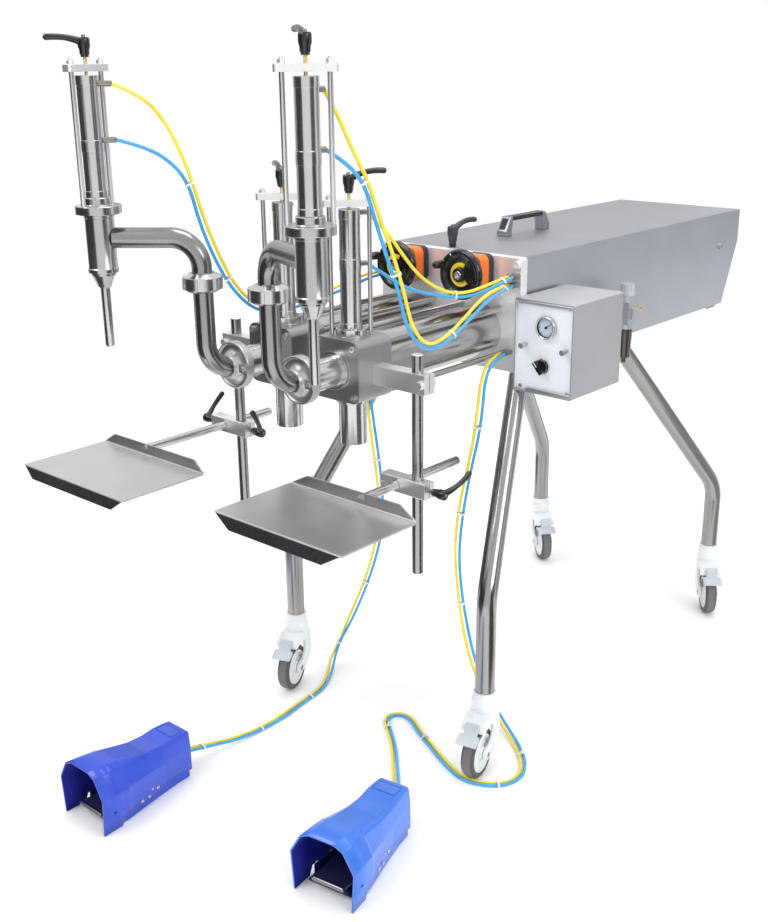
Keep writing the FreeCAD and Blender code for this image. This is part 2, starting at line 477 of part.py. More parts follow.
gauge = cyl(17.0, (gx, py - 1.0, gz), (gx, py + 24, gz)).fuse(cyl(20.0, (gx, py - 9.0, gz), (gx, py, gz))).cut(cyl(17.5, (gx, py - 10, gz), (gx, py - 3.0, gz)))
screws = [cap_screw((bx0 + a, py, b), (0, -1, 0), 3.6, 3.0) for a, b in ((13, 886), (119, 886), (13, 724), (119, 724))]
# the stand's front leg passes the lower left corner of the casing
clear = cyl(LEG_R + 1.0, v(FRONT_LEG[0]) + (v(FRONT_LEG[0]) - v(FRONT_LEG[1])).normalize() * 14, FRONT_LEG[1])
case, panel = case.cut(clear), panel.cut(clear)
put("control_box", case, panel, gauge, *screws)
put("gauge_needle", fuse(cyl(1.6, (gx, py - 6.0, gz), (gx, py - 3.6, gz)), rot(box(gx - 5, gx + 13, py - 5.2, py - 4.4, gz - 0.5, gz + 0.5), -35, (gx, 0, gz), (0, 1, 0))))
sel = fuse(cyl(4.1, (sx_, py - 8, sz_), (sx_, py + 14, sz_)), cyl(13.0, (sx_, py - 9.0, sz_), (sx_, py - 0.8, sz_)), rot(box(sx_ - 13.5, sx_ + 13.5, py - 20.0, py - 8.5, sz_ - 4.5, sz_ + 4.5), 50, (sx_, 0, sz_), (0, 1, 0)))
put("selector_knob", sel)
for n, k in knobs.items():
    s = fuse(cyl(3.0, (k[0], py - 4, k[1]), (k[0], py + 12, k[1])), cyl(5.5, (k[0], py - 18.0, k[1]), (k[0], py - 8.0, k[1])), cyl(4.0, (k[0], py - 8.5, k[1]), (k[0], py - 3.8, k[1])))
    put("flow_screw_" + n, s)

# ---------------------------------------------------------------- air preparation unit behind the box
ax, ay = 208.0, 318.0
au = fuse(box(ax - 16, ax + 16, ay - 16, ay + 16, 788.0, 836.0), cyl(15.0, (ax, ay, 835.9), (ax, ay, 846.0)), box(ax - 16, ax + 24, ay - 13, ay + 13, 800.0, 824.0))
au = fuse(au, cyl(17.0, (ax, ay, 778.0), (ax, ay, 788.1)).common(box(ax - 15.9, ax + 30, ay - 30, ay + 30, 770, 800)))
bracket = fuse(box(118.0, ax - 16, ay - 12, ay + 12, 738.0, 742.0), box(ax - 20, ax - 16, ay - 12, ay + 12, 738.0, 822.0))
bowl = fuse(cone(13.0, 15.5, (ax, ay, 716.0), (ax, ay, 777.9)), cyl(5.0, (ax, ay, 704.0), (ax, ay, 716.1)))
barb = fuse(hexagon((ax, ay + 16.0, 812.0), (0, 1, 0), 17.0, 13.0), cyl(6.4, (ax, ay + 28.9, 812.0), (ax, ay + 43, 812.0)), cyl(8.5, (ax, ay + 42.9, 812.0), (ax, ay + 49, 812.0)))
barb = barb.cut(cyl(3.2, (ax, ay + 24, 812.0), (ax, ay + 50, 812.0)))
put("air_unit", au, bowl, barb, bracket)
knob = cyl(14.5, (ax, ay, 846.4), (ax, ay, 872.0))
for k in range(12):
    knob = knob.cut(cyl(1.6, polar((ax, ay), 15.0, 30 * k, 846.0), polar((ax, ay), 15.0, 30 * k, 873.0)))
put("regulator_knob", knob)

# ---------------------------------------------------------------- casters
for name, fx, fy in (("front_left", -FRONT_LEG[2][0], FRONT_LEG[2][1]), ("front_right", FRONT_LEG[2][0], FRONT_LEG[2][1]), ("rear_left", -REAR_LEG[2][0], REAR_LEG[2][1]), ("rear_right", REAR_LEG[2][0], REAR_LEG[2][1])):
    # built with the wheel trailing towards +X, then turned
    c = (0, 0, 0)
    collar = cyl(25.5, (0, 0, 128.0), (0, 0, 168.6))
    stem = cyl(16.6, (0, 0, 168.0), (0, 0, 200.0))
    crown = box(-20, 46, -24, 24, 108.0, 130.0)
    crown = crown.makeFillet(9.0, [e for e in crown.Edges if abs(e.tangentAt(e.FirstParameter).y) > 0.99 and e.BoundBox.ZMin > 120])
    cheeks = []
    for k in (-1, 1):
        y0 = 16.0 if k > 0 else -24.0
        side = prism([(-20, y0, 112), (-23, y0, 104), (-23, y0, 76), (-15, y0, 58), (3, y0, 43), (20, y0, 38), (TRAIL, y0, 37), (TRAIL + 9, y0, 41), (TRAIL + 13, y0, 50), (TRAIL + 9, y0, 59), (TRAIL, y0, 63), (19, y0, 65), (10, y0, 73), (6, y0, 86), (6, y0, 112)], (0, 8, 0))
        cheeks.append(side)
    fork = fuse(collar, crown, cheeks[0], cheeks[1])
    fork = fork.cut(cyl(WHEEL_R + 3.0, (TRAIL, -15.95, WHEEL_R), (TRAIL, 15.95, WHEEL_R))).cut(cyl(6.3, (TRAIL, -30, WHEEL_R), (TRAIL, 30, WHEEL_R)))
    fork = fork.cut(box(44.0, 80.0, -17.0, 17.0, 80.0, 131.0))
    fork = fuse(fork, stem)
    tyre = cyl(WHEEL_R, (TRAIL, -WHEEL_W / 2, WHEEL_R), (TRAIL, WHEEL_W / 2, WHEEL_R))
    tyre = tyre.makeFillet(7.0, [e for e in tyre.Edges if len(e.Vertexes) == 1])
    hub = cyl(38.0, (TRAIL, -15.4, WHEEL_R), (TRAIL, 15.4, WHEEL_R))
    tyre = tyre.cut(hub)
    pin = cyl(6.2, (TRAIL, -24.0, WHEEL_R), (TRAIL, 24.0, WHEEL_R))
    hub = fuse(hub, pin)
    # brake pedal, pivoted on the crown's trailing end
    pv = (52.0, 0.0, 112.0)
    br = fuse(cyl(5.0, (pv[0], -16.5, pv[2]), (pv[0], 16.5, pv[2])), prism([(pv[0] - 4, -16.0, pv[2] + 3), (pv[0] + 1, -16.0, pv[2] + 12), (pv[0] + 7, -16.0, pv[2] + 12), (pv[0] + 17, -16.0, pv[2] - 6), (pv[0] + 30, -16.0, pv[2] - 11), (pv[0] + 38, -16.0, pv[2] - 16), (pv[0] + 37, -16.0, pv[2] - 21), (pv[0] + 22, -16.0, pv[2] - 19), (pv[0] + 6, -16.0, pv[2] - 4)], (0, 32, 0)), prism([(pv[0] + 10, -21.0, pv[2] + 5), (pv[0] + 17, -21.0, pv[2] - 6), (pv[0] + 30, -21.0, pv[2] - 11), (pv[0] + 38, -21.0, pv[2] - 16), (pv[0] + 37, -21.0, pv[2] - 21), (pv[0] + 22, -21.0, pv[2] - 19), (pv[0] + 10, -21.0, pv[2] - 8)], (0, 42, 0)))
    yoke = []
    for k in (-1, 1):
        y0 = 17.0 if k > 0 else -24.0
        yoke.append(prism([(38, y0, 106), (56, y0, 104), (58, y0, 112), (56, y0, 119), (38, y0, 128)], (0, 7, 0)))
    fork = fuse(fork, *yoke)
    az = TRAIL_AZ[name]
    for nm, shs in (("caster_fork_" + name, [fork]), ("wheel_" + name, [tyre, hub]), ("brake_pedal_" + name, [br])):
        put(nm, *[move(rot(s, az, c), fx, fy, 0) for s in shs])

# ---------------------------------------------------------------- foot pedals
ph = []
for side in ("left", "right"):
    cx, cy, az = PEDAL[side]
    # local frame: mouth at y=0 facing -y, body towards +y, floor at z=0
    def sec(y, w0, w1, zb, zs, zt, wt):
        return Part.makePolygon([V(-w0, y, zb), V(w0, y, zb), V(w1, y, zs), V(wt + (w1 - wt) * 0.45, y, zt - (zt - zs) * 0.18), V(wt, y, zt), V(-wt, y, zt), V(-wt - (w1 - wt) * 0.45, y, zt - (zt - zs) * 0.18), V(-w1, y, zs), V(-w0, y, zb)])

    def hull(o):
        s = [(0.0, 60 - o, 65 - o, 75, 121 - o, 26), (60.0, 56 - o, 60 - o, 72, 114 - o, 27), (125.0, 45 - o, 47 - o, 66, 99 - o, 28), (160.0, 38 - o, 39 - o, 62, 97 - o, 29), (190.0, 36 - o, 36 - o, 66, 101 - o, 30), (228.0 - o, 34 - o, 34 - o, 66, 98 - o, 29)]
        parts = []
        for a, b in zip(s, s[1:]):
            parts.append(Part.makeLoft([sec(a[0] if o == 0 or a[0] > 0 else -1.0, a[1], a[2], 0.0, a[3], a[4], a[5] - o * 0.4), sec(b[0], b[1], b[2], 0.0, b[3], b[4], b[5] - o * 0.4)], True, True))
        return fuse(*parts)

    outer = hull(0.0)
    inner = hull(3.0)
    g = outer.cut(inner).cut(box(-90, 90, 48, 230, -1, 16.0))
    g = g.cut(prism([(-90, 47.9, -1), (-90, 42, -1), (-90, 47.9, 16)], (180, 0, 0)))
    base = box(-30.5, 30.5, 30, 224.0, 0, 8.0)
    base = base.makeFillet(5.0, [e for e in base.Edges if abs(e.tangentAt(e.FirstParameter).z) > 0.99])
    base = fuse(base, box(-30.5, -27.0, 150, 222, 7.9, 60.0), box(27.0, 30.5, 150, 222, 7.9, 60.0), box(-27.1, 27.1, 205, 222, 7.9, 60))
    base = base.cut(cyl(4.2, (-40, 176, 34), (40, 176, 34)))
    pin = cyl(3.9, (-30.5, 176, 34), (30.5, 176, 34))
    tread = fuse(prism([(-32, 12, 24), (-32, 16, 20), (-32, 60, 19.5), (-32, 140, 25.3), (-32, 140, 29.3), (-32, 60, 23.5), (-32, 18, 26)], (64, 0, 0)), prism([(-26.7, 138, 25.1), (-26.7, 184, 28), (-26.7, 184, 32), (-26.7, 138, 29.1)], (53.4, 0, 0)), cyl(7.5, (-26.7, 176, 34), (26.7, 176, 34)))
    tread = tread.cut(cyl(4.2, (-40, 176, 34), (40, 176, 34)))
    place = lambda s: move(rot(s, az, (0, 0, 0)), cx, cy, 0)
    screws = []
    for sgn in (-1, 1):
        for yy, zz, w in ((93.0, 22.0, 53.4), (111.0, 21.0, 48.9), (135.0, 27.0, 44.2)):
            screws.append(cyl(3.4, (sgn * (w - 3.0), yy, zz), (sgn * (w + 2.2), yy, zz)))
    ph += [place(q) for q in (fuse(g, *screws), base, pin)]
    put("treadle_" + side, place(tread))
put("pedal_housings", *ph)

# ---------------------------------------------------------------- hose fittings
def fitting(c, d, r, h):
    """Push-in fitting on a surface: a hexagonal foot and a round nose that the hose meets."""
    d = v(d).normalize()
    foot = hexagon(v(c), d, 2 * r - 1.2, h * 0.45)
    nose = Part.makeCylinder(r - 0.4, h, v(c), d)
    return fuse(foot, nose)


hf = []
for z in (1290.0, 1203.0):
    d = V(math.cos(math.radians(45)), math.sin(math.radians(45)), 0)
    hf.append(Part.makeCylinder(4.6, 24.0, V(HEAD["left"][0], HEAD["left"][1], z) + d * (AIR_R - 4), d).cut(aa[0]))
for z in (1285.0, 1203.0):
    d = V(math.cos(math.radians(80)), math.sin(math.radians(80)), 0)
    hf.append(Part.makeCylinder(4.6, 16.0, V(HEAD["right"][0], HEAD["right"][1], z) + d * (AIR_R - 4), d).cut(aa[2]))
for sx in (-1, 1):
    for z in (1079.0, 993.0):
        d = V(sx * math.cos(math.radians(75)), math.sin(math.radians(75)), 0)
        hf.append(Part.makeCylinder(4.6, 18.0, V(sx * HEAD_X, INLET_Y, z) + d * (AIR_R - 4), d).cut(aa[1 if sx < 0 else 3]))
for x, z in ((-139.5, 908.0), (-150.5, 908.0), (169.0, 914.5), (158.0, 914.5), (169.0, 931.0), (158.0, 931.0), (-144.5, 782.0), (-155.5, 782.0), (144.5, 782.0), (155.5, 782.0)):
    hf.append(fitting((x, -PLATE_T, z), (0, -1, 0), 5.2, 18.0))
for side in ("left", "right"):
    cx, cy, az = PEDAL[side]
    a = math.radians(az)
    zc = 37.0 if side == "left" else 38.0
    for lx in (-7.0, 7.0):
        c = V(cx + lx * math.cos(a) - 228.0 * math.sin(a), cy + lx * math.sin(a) + 228.0 * math.cos(a), zc)
        hf.append(Part.makeCylinder(5.6, 12.0, c, V(-math.sin(a), math.cos(a), 0)))
hf = [max(f.Solids, key=lambda q: q.Volume) for f in hf]
put("hose_fittings", *hf)

# ---------------------------------------------------------------- hoses
# Each hose is a 6 mm tube; its route is a row of points joined by straight runs
# and the largest arcs that the runs allow.
HOSES = {
    ("head_left", "yellow"): [
        (-185.1, -653.1, 1290), (-166, -606, 1270), (-157, -568, 1222), (-149, -546, 1168), (-143.8, -531.2, 1120.8), (-138.7, -518.1, 1065.6),
        (-130.7, -496.8, 1003.3), (-123.9, -469, 944), (-122.1, -421.3, 901.1), (-129.9, -358.3, 889.2), (-128.9, -292.3, 891.8), (-124.8, -226.5, 901.4),
        (-126.7, -160.7, 911.5), (-138.4, -94.8, 915.1), (-150.5, -38, 908),
    ],
    ("head_left", "blue"): [
        (-185.1, -653.1, 1203), (-168, -603, 1189), (-152, -560, 1156), (-148.2, -536.8, 1119.2), (-144.1, -525.2, 1063), (-136.2, -504.2, 999.6),
        (-127.5, -474.5, 939.6), (-123.6, -425.4, 893.1), (-127.7, -358.9, 879.5), (-126.1, -291.7, 884), (-121.5, -225.5, 893.3), (-122.8, -159.3, 902.4),
        (-135.6, -94.2, 906.9), (-139.5, -38, 908),
    ],
    ("head_right", "yellow"): [
        (242.2, -604.5, 1285), (245, -578, 1246), (240.5, -546, 1197), (239, -510.6, 1149.1), (235.5, -484.6, 1096), (235.2, -453.3, 1034.6),
        (231.9, -424.4, 972.1), (232, -404.1, 907.3), (223.5, -355.3, 866.6), (210.1, -291, 866.6), (199.2, -226.8, 886.9), (189.4, -163.4, 912.4),
        (176.7, -96, 920.3), (158, -38, 914.5),
    ],
    ("head_right", "blue"): [
        (242.2, -604.5, 1203), (241.5, -560, 1181), (234, -515.4, 1146.9), (231.3, -490.6, 1093.2), (227.4, -460, 1031.7), (226.4, -429.8, 970.2),
        (226.2, -410.1, 903.7), (222.9, -358.8, 857.3), (214.9, -289.2, 860), (205.1, -223.9, 881.2), (195.8, -160.5, 905.2), (181, -94.6, 912.9),
        (169, -38, 914.5),
    ],
    ("inlet", "yellow"): [
        (89.3, -357, 1079), (104, -327, 1052), (114, -295, 1005), (122.5, -252, 955), (134.7, -197.4, 922.5), (145.2, -147.8, 914.7),
        (156.5, -89.1, 925.1), (158, -38, 931),
    ],
    ("inlet", "blue"): [
        (89.3, -357, 993), (105, -322, 967), (119, -275, 936), (135.3, -198.6, 915.5), (147.2, -148.1, 907.5), (160, -88.3, 917.6),
        (169, -38, 931),
    ],
    ("pedal_left", "yellow"): [
        (-155.5, -38, 782), (-153.3, -79, 778.4), (-153.2, -108.1, 747.5), (-147.8, -110.5, 693.3), (-141.9, -106, 626.1), (-134.7, -104.2, 559.1),
        (-123.1, -104.3, 492.8), (-117, -103.1, 426.2), (-123.6, -103, 359.8), (-140.1, -102.5, 295), (-163.8, -102.2, 232.3), (-192.4, -100.4, 171.5),
        (-221.6, -102, 110.8), (-246, -102.5, 52.8), (-252, -127, 18.4), (-226, -164, 3.4), (-190, -222, 3.1), (-184, -288.7, 3.1),
        (-173.3, -354.3, 3.2), (-170.8, -420.9, 3.1), (-178.7, -487.5, 7.1), (-184.2, -553, 21.9), (-189.2, -610.1, 37),
    ],
    ("pedal_left", "blue"): [
        (-144.5, -38, 782), (-146.7, -74.2, 773.4), (-145.7, -101.7, 746.1), (-141, -104, 693.9), (-136.4, -100.7, 626.9), (-127.7, -97.3, 560.2),
        (-116.5, -98, 493.7), (-111.1, -97.6, 426.2), (-115.9, -96.8, 358.5), (-133.2, -97.5, 292.8), (-157.2, -97.8, 229.5), (-184.6, -97.6, 167.7),
        (-214.9, -97.9, 107.5), (-240.5, -109.1, 52.8), (-242, -124.8, 18.4), (-217.5, -159.5, 3.4), (-182.6, -219.5, 3.1), (-176, -286.8, 3.1),
        (-163.7, -353.3, 3.2), (-163.5, -421.2, 3.1), (-169, -488.4, 7.1), (-174.7, -553.7, 21.9), (-175.2, -609.9, 37),
    ],
    ("pedal_right", "yellow"): [
        (144.5, -38, 782), (148.1, -79, 777.4), (151.1, -107.5, 745.7), (146.4, -110.5, 690.4), (135.2, -106, 626), (119.4, -103.3, 562.4),
        (103.5, -102.3, 498.5), (91.4, -101.6, 433.5), (86.4, -100.8, 367.5), (91.9, -99.4, 301.6), (101.1, -99, 236.3), (114.8, -97.5, 171.6),
        (134.8, -94, 108.5), (170.8, -89.8, 53.6), (212.2, -96.7, 11.3), (265.3, -127.7, 3.1), (314.8, -168.9, 3.1), (340.7, -218.4, 3.1),
        (320.5, -264, 3.1), (264.7, -287.3, 3.1), (205.6, -266.9, 3.1), (146, -239.7, 3.1), (88.6, -210.9, 3.1), (48.4, -187, 3.1),
        (17, -183.7, 3.1), (-2.6, -204.8, 3.1), (5.8, -233.3, 3.1), (38.6, -258.3, 3.1), (85, -297.2, 3.1), (128.7, -346, 3.1),
        (174, -393.7, 4.2), (218.1, -440.7, 16), (250, -476.5, 38),
    ],
    ("pedal_right", "blue"): [
        (155.5, -38, 782), (154.3, -75.8, 773.8), (157.2, -103.3, 744.4), (154.5, -104.8, 689.5), (142.5, -101, 624.7), (125.5, -99.2, 561),
        (111.1, -97.2, 497), (99.5, -95.8, 432.5), (93.5, -95.2, 367.6), (97.6, -94.6, 302.3), (108, -92.9, 237.7), (121.9, -90.7, 173.7),
        (140.5, -87.6, 111.4), (170.9, -82.4, 53.6), (215.5, -88.1, 11.3), (271, -119.5, 3.1), (321.9, -163.1, 3.1), (348.2, -218, 3.1),
        (326.4, -270.4, 3.1), (265, -297.2, 3.1), (201.9, -275.8, 3.1), (143.1, -245.9, 3.1), (84.5, -218.5, 3.1), (45.6, -194, 3.1),
        (19.3, -190.8, 3.1), (4.8, -206.3, 3.1), (11.6, -228.6, 3.1), (43.3, -252.4, 3.1), (90.2, -291.7, 3.1), (136.4, -338.9, 3.1),
        (181.3, -386.9, 4.2), (224.7, -434.6, 16), (263.8, -474.1, 38),
    ],
}


def hose(points):
    rs, lens = [], []
    for i in range(1, len(points) - 1):
        p, a, b = v(points[i]), v(points[i - 1]), v(points[i + 1])
        run = min((a - p).Length, (b - p).Length)
        half = math.acos(max(-1.0, min(1.0, (a - p).normalize().dot((b - p).normalize())))) / 2
        rs.append(0.45 * run * math.tan(half))
    s, length = bent(points, rs, HOSE_R)
    return s, length, rs


pairs = {}
for (where, colour), pts in HOSES.items():
    s, length, rs = hose(pts)
    print("hose %-12s %-6s length %.0f mm, radii %.0f to %.0f mm, volume ratio %.4f, valid %s" % (where, colour, length, min(rs), max(rs), s.Volume / (math.pi * HOSE_R ** 2 * length), s.isValid()))
    pairs.setdefault(where, []).append(s)
for where, ss in pairs.items():
    put("hose_pair_" + where, *ss)

# ---------------------------------------------------------------- measure, shift and write
def bbox(names):
    b = None
    for n in names:
        for s in NODES[n]:
            if b is None:
                b = FreeCAD.BoundBox(s.optimalBoundingBox())
            else:
                b.add(s.optimalBoundingBox())
    return b


if __name__ == "__main__":
    b = bbox([n for n in NODES if not n.startswith("hose_")])
    print("bbox without hoses", [round(a, 4) for a in (b.XMin, b.XMax, b.YMin, b.YMax, b.ZMin, b.ZMax)])
    for name, ss in NODES.items():
        moved = []
        for s in ss:
            if not s.isValid() or s.Volume <= 0:
                print("CHECK", name, s.isValid(), s.Volume)
            moved.append(move(s, *SHIFT))
        shape = moved[0] if len(moved) == 1 else Part.makeCompound(moved)
        shape.exportStep("parts/" + name + ".step")
    print(len(NODES), "nodes,", sum(len(s) for s in NODES.values()), "solids")
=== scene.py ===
import math
import random
import bpy
import bmesh
from mathutils import Matrix, Vector, Quaternion


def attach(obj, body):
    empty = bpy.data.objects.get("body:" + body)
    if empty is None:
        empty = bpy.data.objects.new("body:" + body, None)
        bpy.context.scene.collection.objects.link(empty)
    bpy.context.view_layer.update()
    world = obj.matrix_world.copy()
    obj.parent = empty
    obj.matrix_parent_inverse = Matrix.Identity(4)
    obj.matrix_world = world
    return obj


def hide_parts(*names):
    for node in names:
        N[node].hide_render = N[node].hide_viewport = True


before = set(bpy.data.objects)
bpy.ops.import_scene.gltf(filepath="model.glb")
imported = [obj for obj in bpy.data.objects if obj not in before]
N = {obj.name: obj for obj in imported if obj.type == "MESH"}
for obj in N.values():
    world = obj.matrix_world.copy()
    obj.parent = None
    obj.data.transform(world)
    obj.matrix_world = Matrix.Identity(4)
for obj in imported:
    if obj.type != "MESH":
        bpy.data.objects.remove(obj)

random.seed(7)
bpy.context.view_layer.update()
scene = bpy.context.scene

# All lengths below are given in the machine's own millimetres: X across, Y from
# the hood's front face towards its rear, Z from the floor.
SHIFT = (12.695, -27.16, 0.0)


def P(x, y, z):
    return Vector(((x + SHIFT[0]) / 1000, (y + SHIFT[1]) / 1000, (z + SHIFT[2]) / 1000))


# ------------------------------------------------------------------ camera
CAM = P(1450.2, -1834.6, 1333.0)
YAW, PITCH, ROLL = math.radians(41.88), math.radians(19.2), math.radians(-0.63)
fw = Vector((-math.sin(YAW) * math.cos(PITCH), math.cos(YAW) * math.cos(PITCH), -math.sin(PITCH)))
rt = Vector((math.cos(YAW), math.sin(YAW), 0.0))
up = rt.cross(fw)
ax = rt * math.cos(ROLL) + up * math.sin(ROLL)
ay = up * math.cos(ROLL) - rt * math.sin(ROLL)
m = Matrix((ax, ay, -fw)).transposed().to_4x4()
m.translation = CAM
cam = bpy.data.objects.new("Camera", bpy.data.cameras.new("Camera"))
scene.collection.objects.link(cam)
cam.matrix_world = m
cam.data.sensor_width = 36.0
cam.data.sensor_fit = "AUTO"
cam.data.lens = 45.87
cam.data.clip_end = 60.0
scene.camera = cam


# ------------------------------------------------------------------ materials
def new_mat(name):
    mt = bpy.data.materials.new(name)
    mt.use_nodes = True
    nt = mt.node_tree
    return mt, nt, nt.nodes["Principled BSDF"]


def node(nt, kind, **kw):
    n = nt.nodes.new(kind)
    for k, v in kw.items():
        if k in n.inputs:
            n.inputs[k].default_value = v
        else:
            setattr(n, k, v)
    return n


def ramp(nt, fac, stops):
    r = nt.nodes.new("ShaderNodeValToRGB")
    el = r.color_ramp.elements
    while len(el) < len(stops):
        el.new(0.5)
    for e, (p, c) in zip(el, stops):
        e.position = p
        e.color = (c, c, c, 1) if isinstance(c, (int, float)) else (*c, 1)
    nt.links.new(fac, r.inputs["Fac"])
    return r


def coords(nt, scale=(1, 1, 1), rot=(0, 0, 0)):
    tc = nt.nodes.new("ShaderNodeTexCoord")
    mp = nt.nodes.new("ShaderNodeMapping")
    mp.inputs["Scale"].default_value = scale
    mp.inputs["Rotation"].default_value = rot
    nt.links.new(tc.outputs["Object"], mp.inputs["Vector"])
    return mp.outputs["Vector"]


def bump(nt, bsdf, height, strength, distance):
    b = nt.nodes.new("ShaderNodeBump")
    b.inputs["Strength"].default_value = strength
    b.inputs["Distance"].default_value = distance
    nt.links.new(height, b.inputs["Height"])
    nt.links.new(b.outputs["Normal"], bsdf.inputs["Normal"])
    return b


def rounded(nt, bsdf, radius):
    """Softens hard edges in shading only."""
    bv = nt.nodes.new("ShaderNodeBevel")
    bv.samples = 4
    bv.inputs["Radius"].default_value = radius
    src = bsdf.inputs["Normal"]
    if src.is_linked:
        b = src.links[0].from_node
        nt.links.new(bv.outputs["Normal"], b.inputs["Normal"])
    else:
        nt.links.new(bv.outputs["Normal"], src)


def steel(name, tone=0.62, rough=0.16, brush=None, brush_scale=60.0, spread=0.10, tint=(1.0, 1.0, 1.01), edge=0.0012):
    """Stainless steel: fine scratches along one direction, uneven gloss."""
    mt, nt, b = new_mat(name)
    b.inputs["Metallic"].default_value = 1.0
    sc = brush or (1, 1, 1)
    v = coords(nt, tuple(brush_scale * s for s in sc))
    n1 = node(nt, "ShaderNodeTexNoise", Scale=14.0, Detail=6.0, Roughness=0.65)
    nt.links.new(v, n1.inputs["Vector"])
    v2 = coords(nt, (9, 9, 9))
    n2 = node(nt, "ShaderNodeTexNoise", Scale=1.4, Detail=3.0)
    nt.links.new(v2, n2.inputs["Vector"])
    mx = nt.nodes.new("ShaderNodeMath")
    mx.operation = "MULTIPLY_ADD"
    mx.inputs[1].default_value = 0.6
    nt.links.new(n1.outputs["Fac"], mx.inputs[0])
    m2 = nt.nodes.new("ShaderNodeMath")
    m2.operation = "MULTIPLY"
    m2.inputs[1].default_value = 0.4
    nt.links.new(n2.outputs["Fac"], m2.inputs[0])
    nt.links.new(m2.outputs[0], mx.inputs[2])
    c = ramp(nt, mx.outputs[0], [(0.25, tuple(tone * 0.90 * t for t in tint)), (0.75, tuple(min(1, tone * 1.08) * t for t in tint))])
    nt.links.new(c.outputs["Color"], b.inputs["Base Color"])
    r = ramp(nt, mx.outputs[0], [(0.3, max(0.02, rough - spread * 0.5)), (0.75, rough + spread)])
    nt.links.new(r.outputs["Color"], b.inputs["Roughness"])
    if brush:
        bump(nt, b, n1.outputs["Fac"], 0.06, 0.0004)
    if edge:
        rounded(nt, b, edge)
    return mt


def plastic(name, color, rough=0.35, grain=0.15, scale=900.0, edge=0.0008, coat=0.0, dark=0.85):
    mt, nt, b = new_mat(name)
    v = coords(nt)
    n1 = node(nt, "ShaderNodeTexNoise", Scale=scale, Detail=2.0)
    n2 = node(nt, "ShaderNodeTexNoise", Scale=18.0, Detail=4.0)
    nt.links.new(v, n1.inputs["Vector"])
    nt.links.new(v, n2.inputs["Vector"])
    c = ramp(nt, n2.outputs["Fac"], [(0.3, tuple(x * dark for x in color)), (0.7, tuple(min(1, x * 1.04) for x in color))])
    nt.links.new(c.outputs["Color"], b.inputs["Base Color"])
    r = ramp(nt, n2.outputs["Fac"], [(0.3, max(0.03, rough - 0.05)), (0.75, min(1, rough + 0.08))])
    nt.links.new(r.outputs["Color"], b.inputs["Roughness"])
    if coat:
        b.inputs["Coat Weight"].default_value = coat
        b.inputs["Coat Roughness"].default_value = 0.08
    bump(nt, b, n1.outputs["Fac"], grain, 0.0002)
    if edge:
        rounded(nt, b, edge)
    return mt


M = {}
M["polished"] = steel("steel_polished", 0.60, 0.17, None, 60, 0.07)
M["plate"] = steel("steel_plate", 0.92, 0.34, (1, 1, 30), 8, 0.06)
# The next two are copies of one hood sheet steel: the top copy is darker and rougher than the side copy, painted shade
# on the hood's top.
M["sheet"] = steel("steel_sheet", 0.60, 0.36, (40, 1, 40), 6, 0.10, tint=(0.95, 0.99, 1.05))
M["sheet_top"] = steel("steel_sheet_top", 0.42, 0.44, (40, 1, 1), 6, 0.08, tint=(0.97, 0.99, 1.04))
M["tube"] = steel("steel_tube", 0.35, 0.20, (1, 1, 0.15), 40, 0.08, tint=(1.0, 0.97, 0.93))
M["barrel"] = steel("steel_barrel", 0.50, 0.20, None, 2, 0.02, tint=(1.0, 0.99, 0.97))
M["turned"] = steel("steel_turned", 0.54, 0.24, (1, 1, 40), 12, 0.10)
M["nozzle"] = steel("steel_nozzle", 0.50, 0.18, (1, 1, 40), 10, 0.06)
M["block"] = steel("steel_block", 0.38, 0.33, (40, 1, 40), 5, 0.10)
M["pipe"] = steel("steel_pipe", 0.30, 0.20, None, 30, 0.06)
# The next two are copies of one tray sheet steel: the darker one on the front lip and underside is painted shade, the
# lighter one on the top is painted light.
M["tray"] = steel("steel_tray", 0.36, 0.24, (30, 1, 30), 6, 0.12, edge=0.0028)
M["tray_top"] = steel("steel_tray_top", 0.58, 0.32, (30, 1, 1), 6, 0.14, edge=0.0028)
M["satin"] = steel("steel_satin", 0.86, 0.40, (1, 30, 30), 6, 0.10)
M["foot"] = steel("handle_foot", 0.40, 0.36, None, 60, 0.08, tint=(0.96, 0.99, 1.06))
M["ferrule"] = steel("steel_ferrule", 0.52, 0.34, None, 40, 0.08)
M["bed"] = steel("steel_bed", 0.36, 0.42, (1, 20, 1), 6, 0.12)
M["dark_steel"] = steel("steel_dark", 0.22, 0.35, None, 40, 0.12)
M["nickel"] = steel("fitting_nickel", 0.30, 0.26, None, 60, 0.10, tint=(1.0, 0.94, 0.86))
M["brass"] = steel("brass", 0.80, 0.24, None, 60, 0.10, tint=(0.90, 0.66, 0.30))
M["black"] = plastic("plastic_black", (0.0075, 0.0075, 0.0085), 0.17, 0.08, coat=0.3)
M["charcoal"] = plastic("plastic_charcoal", (0.040, 0.041, 0.045), 0.36, 0.2)
M["lever_black"] = plastic("lever_black", (0.009, 0.009, 0.010), 0.24, 0.12, coat=0.2)


